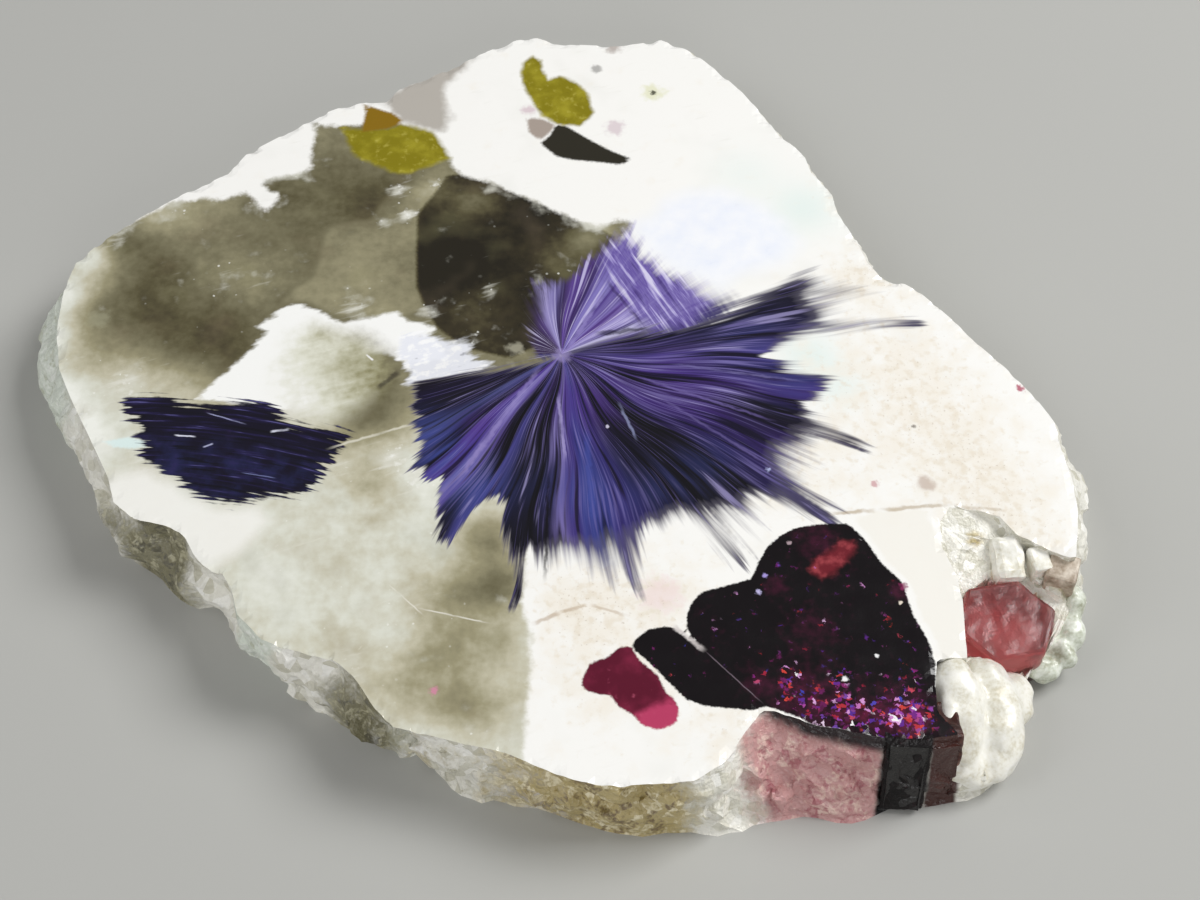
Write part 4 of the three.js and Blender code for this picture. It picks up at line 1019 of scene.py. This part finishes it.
def flat_faced_crystal(name, material, middle, half, tilt=0, turn=0, sides=4, bevel=0.3, relief=0.1):
    """A prism with worn edges and slightly uneven faces, cut off at the sawn back."""
    bm = bmesh.new()
    matrix = placing(middle, half, tilt, turn) @ Matrix.Rotation(math.pi / sides, 4, "Z")
    bmesh.ops.create_cone(bm, cap_ends=True, segments=sides, radius1=1, radius2=1, depth=2, matrix=matrix)
    bmesh.ops.bevel(bm, geom=bm.edges[:], offset=bevel * MM, affect="EDGES", segments=2, profile=0.5,
                    material=-1)
    for level, normal in ((FOOT_LEVEL, Vector((0, 0, -1))), (FACE_LEVEL, Vector((0, 0, 1)))):
        everything = [*bm.verts, *bm.edges, *bm.faces]
        bmesh.ops.bisect_plane(bm, geom=everything, plane_co=Vector((0, 0, level * MM)), plane_no=normal,
                               clear_outer=True)
        bmesh.ops.holes_fill(bm, edges=bm.edges)
    bmesh.ops.triangulate(bm, faces=bm.faces)
    for _ in range(CUT_ROUNDS):
        long_edges = [e for e in bm.edges if e.calc_length() > LONGEST_EDGE * MM]
        bmesh.ops.subdivide_edges(bm, edges=long_edges, cuts=EDGE_CUTS, use_grid_fill=True)
    bm.normal_update()
    for v, move in [(v, v.normal * relief * MM * noise.noise(v.co / MM / CRYSTAL_GRAIN)) for v in bm.verts]:
        v.co += move
        v.co.z = min(max(v.co.z, FOOT_LEVEL * MM), FACE_LEVEL * MM)
    bmesh.ops.triangulate(bm, faces=bm.faces)
    growth(name, bm, material)


def plain_stone(name, colours, size, roughness, bump, gloss):
    """A mineral whose colours lie in soft patches, with fine relief."""
    material, at = new_material(name)
    patches, grit = ripple(at, size, 0.6, 3), ripple(at, 0.4, 0.3, 2)
    colour = add("ValToRGB", {"Fac": summed(patches, grit, 0.5)}, stops=colours).outputs[0]
    relief = add("Bump", {"Height": summed(patches, grit), "Strength": 0.6, "Distance": bump * MM})
    surface({"Base Color": colour, "Roughness": roughness, "Normal": relief.outputs[0],
             "Specular IOR Level": gloss, "IOR": QUARTZ_IOR})
    return material


def red_tourmaline():
    """Rubellite: see-through and wine red through its depth, with a frosted, uneven skin."""
    material, at = new_material("red tourmaline")
    relief = add("Bump", {"Height": ripple(at, 0.9, 0.5, 4), "Strength": 0.6, "Distance": 0.14 * MM})
    depth = add("VolumeAbsorption", {"Color": "#ee8494", "Density": 250.0})
    surface({"Base Color": "#ffe6e2", "Roughness": 0.36, "Normal": relief.outputs[0], "IOR": TOURMALINE_IOR,
             "Transmission Weight": 1.0}, Volume=depth.outputs[0])
    return material


# The minerals of the corner: what they give the eye, then colours from dark to light, the size of their
# patches in mm, roughness, relief in mm and gloss
CORNER_MINERALS = {
    # Milk-white with cream in its hollows, smooth and a little waxy
    "milky feldspar": ([(0.2, "#cfc8b0"), (0.5, "#efede2"), (0.85, "#fbfaf5")], 3.0, 0.3, 0.1, 0.5),
    # Grey-green glass under a frosted skin
    "frosted quartz": ([(0.2, "#a9ab94"), (0.5, "#d3d8c8"), (0.85, "#f0f3ea")], 1.6, 0.25, 0.1, 0.5),
    # Feldspar stained tan by iron, duller than the white
    "stained feldspar": ([(0.2, "#8d7a66"), (0.5, "#b5a694"), (0.85, "#ddd2c2")], 1.4, 0.45, 0.1, 0.5),
    # Black with a red glow where it is thin, broken rough
    "black tourmaline": ([(0.3, "#080506"), (0.7, "#140c0e"), (0.95, "#3c1420")], 1.6, 0.5, 0.3, 0.2),
    # Dark red-brown flakes
    "maroon mica": ([(0.2, "#24100f"), (0.5, "#43231e"), (0.85, "#7a5044")], 1.8, 0.4, 0.2, 0.3),
}


def broken_corner():
    """The crystals and growths of the front right corner."""
    stones = [plain_stone(name, *look) for name, look in CORNER_MINERALS.items()]
    white, frosted, brown, black, maroon = stones
    rounded_growth("white_fingers", WHITE_FINGERS, white)
    flat_faced_crystal("white_stub", white, (49.7, -26.2, 6.7), (2.5, 3.7, 2.3), 14, 6, 4, 0.95, 0.35)
    rounded_growth("frosted_bumps", FROSTED_BUMPS, frosted)
    flat_faced_crystal("white_block", white, (52.9, -26.9, 7.0), (1.5, 2.1, 2.2), 6, 12)
    flat_faced_crystal("stained_block", brown, (55.4, -27.9, 5.4), (2.3, 2.4, 3.6), 4, -20)
    flat_faced_crystal("black_crystal", black, (36.9, -47.5, 4.6), (3.2, 5.5, 5.0), -14, -3, relief=0.35)
    flat_faced_crystal("maroon_crystal", maroon, (40.5, -47.6, 4.3), (2.7, 3.4, 4.8), -10, 6, relief=0.35)
    red = red_tourmaline()
    flat_faced_crystal("red_crystal", red, (48.8, -33.4, 3.8), (5.6, 5.2, 3.3), 3, 12, 6, 0.4, 0.14)


# Floor, light and camera
FLOOR_HALF = 1.5
CAMERA_ELEVATION = 52
CAMERA_LENS = 60
CAMERA_PLAN = (6.2, -148.75, 183.36)
ROOM_COLOUR, ROOM_STRENGTH = "#f2f2f2", 0.2
# Each light: its place and size in metres, and its power in watts
LIGHTS = {
    "key": ((0.5, 0.16, 0.6), 0.4, 5.2),
    "fill": ((-0.55, -0.1, 0.5), 0.5, 1.6),
    "front": ((0.1, -0.7, 0.3), 0.4, 1.5),
}


def plain_floor():
    """A plain pale floor under the slab."""
    bm = bmesh.new()
    bmesh.ops.create_grid(bm, x_segments=1, y_segments=1, size=FLOOR_HALF)
    material = new_material("matt paper")[0]
    surface({"Base Color": "#b4b4b0", "Roughness": 0.9})
    floor = linked("floor", bm, material)


def soft_lights():
    """Large soft lights, the strongest from the back right, and a pale room."""
    for name, (place, size, power) in LIGHTS.items():
        light = bpy.data.lights.new(name, "AREA")
        light.size, light.energy = size, power
        lamp = bpy.data.objects.new(name, light)
        lamp.location = place
        lamp.rotation_euler = (-Vector(place)).to_track_quat("-Z", "Y").to_euler()
        bpy.context.scene.collection.objects.link(lamp)
    world = bpy.data.worlds.new("studio")
    world.use_nodes = True
    background = world.node_tree.nodes["Background"]
    background.inputs["Color"].default_value = linear(ROOM_COLOUR)
    background.inputs["Strength"].default_value = ROOM_STRENGTH
    bpy.context.scene.world = world


def photo_camera():
    """A camera where the photograph was taken from."""
    lens = bpy.data.cameras.new("camera")
    lens.lens = CAMERA_LENS
    camera = bpy.data.objects.new("camera", lens)
    camera.location = on_plan(*CAMERA_PLAN)
    camera.rotation_euler = (math.radians(90 - CAMERA_ELEVATION), 0, 0)
    bpy.context.scene.collection.objects.link(camera)
    bpy.context.scene.camera = camera


slab()
broken_corner()
plain_floor()
soft_lights()
photo_camera()
bpy.context.scene.view_settings.view_transform = "Standard"
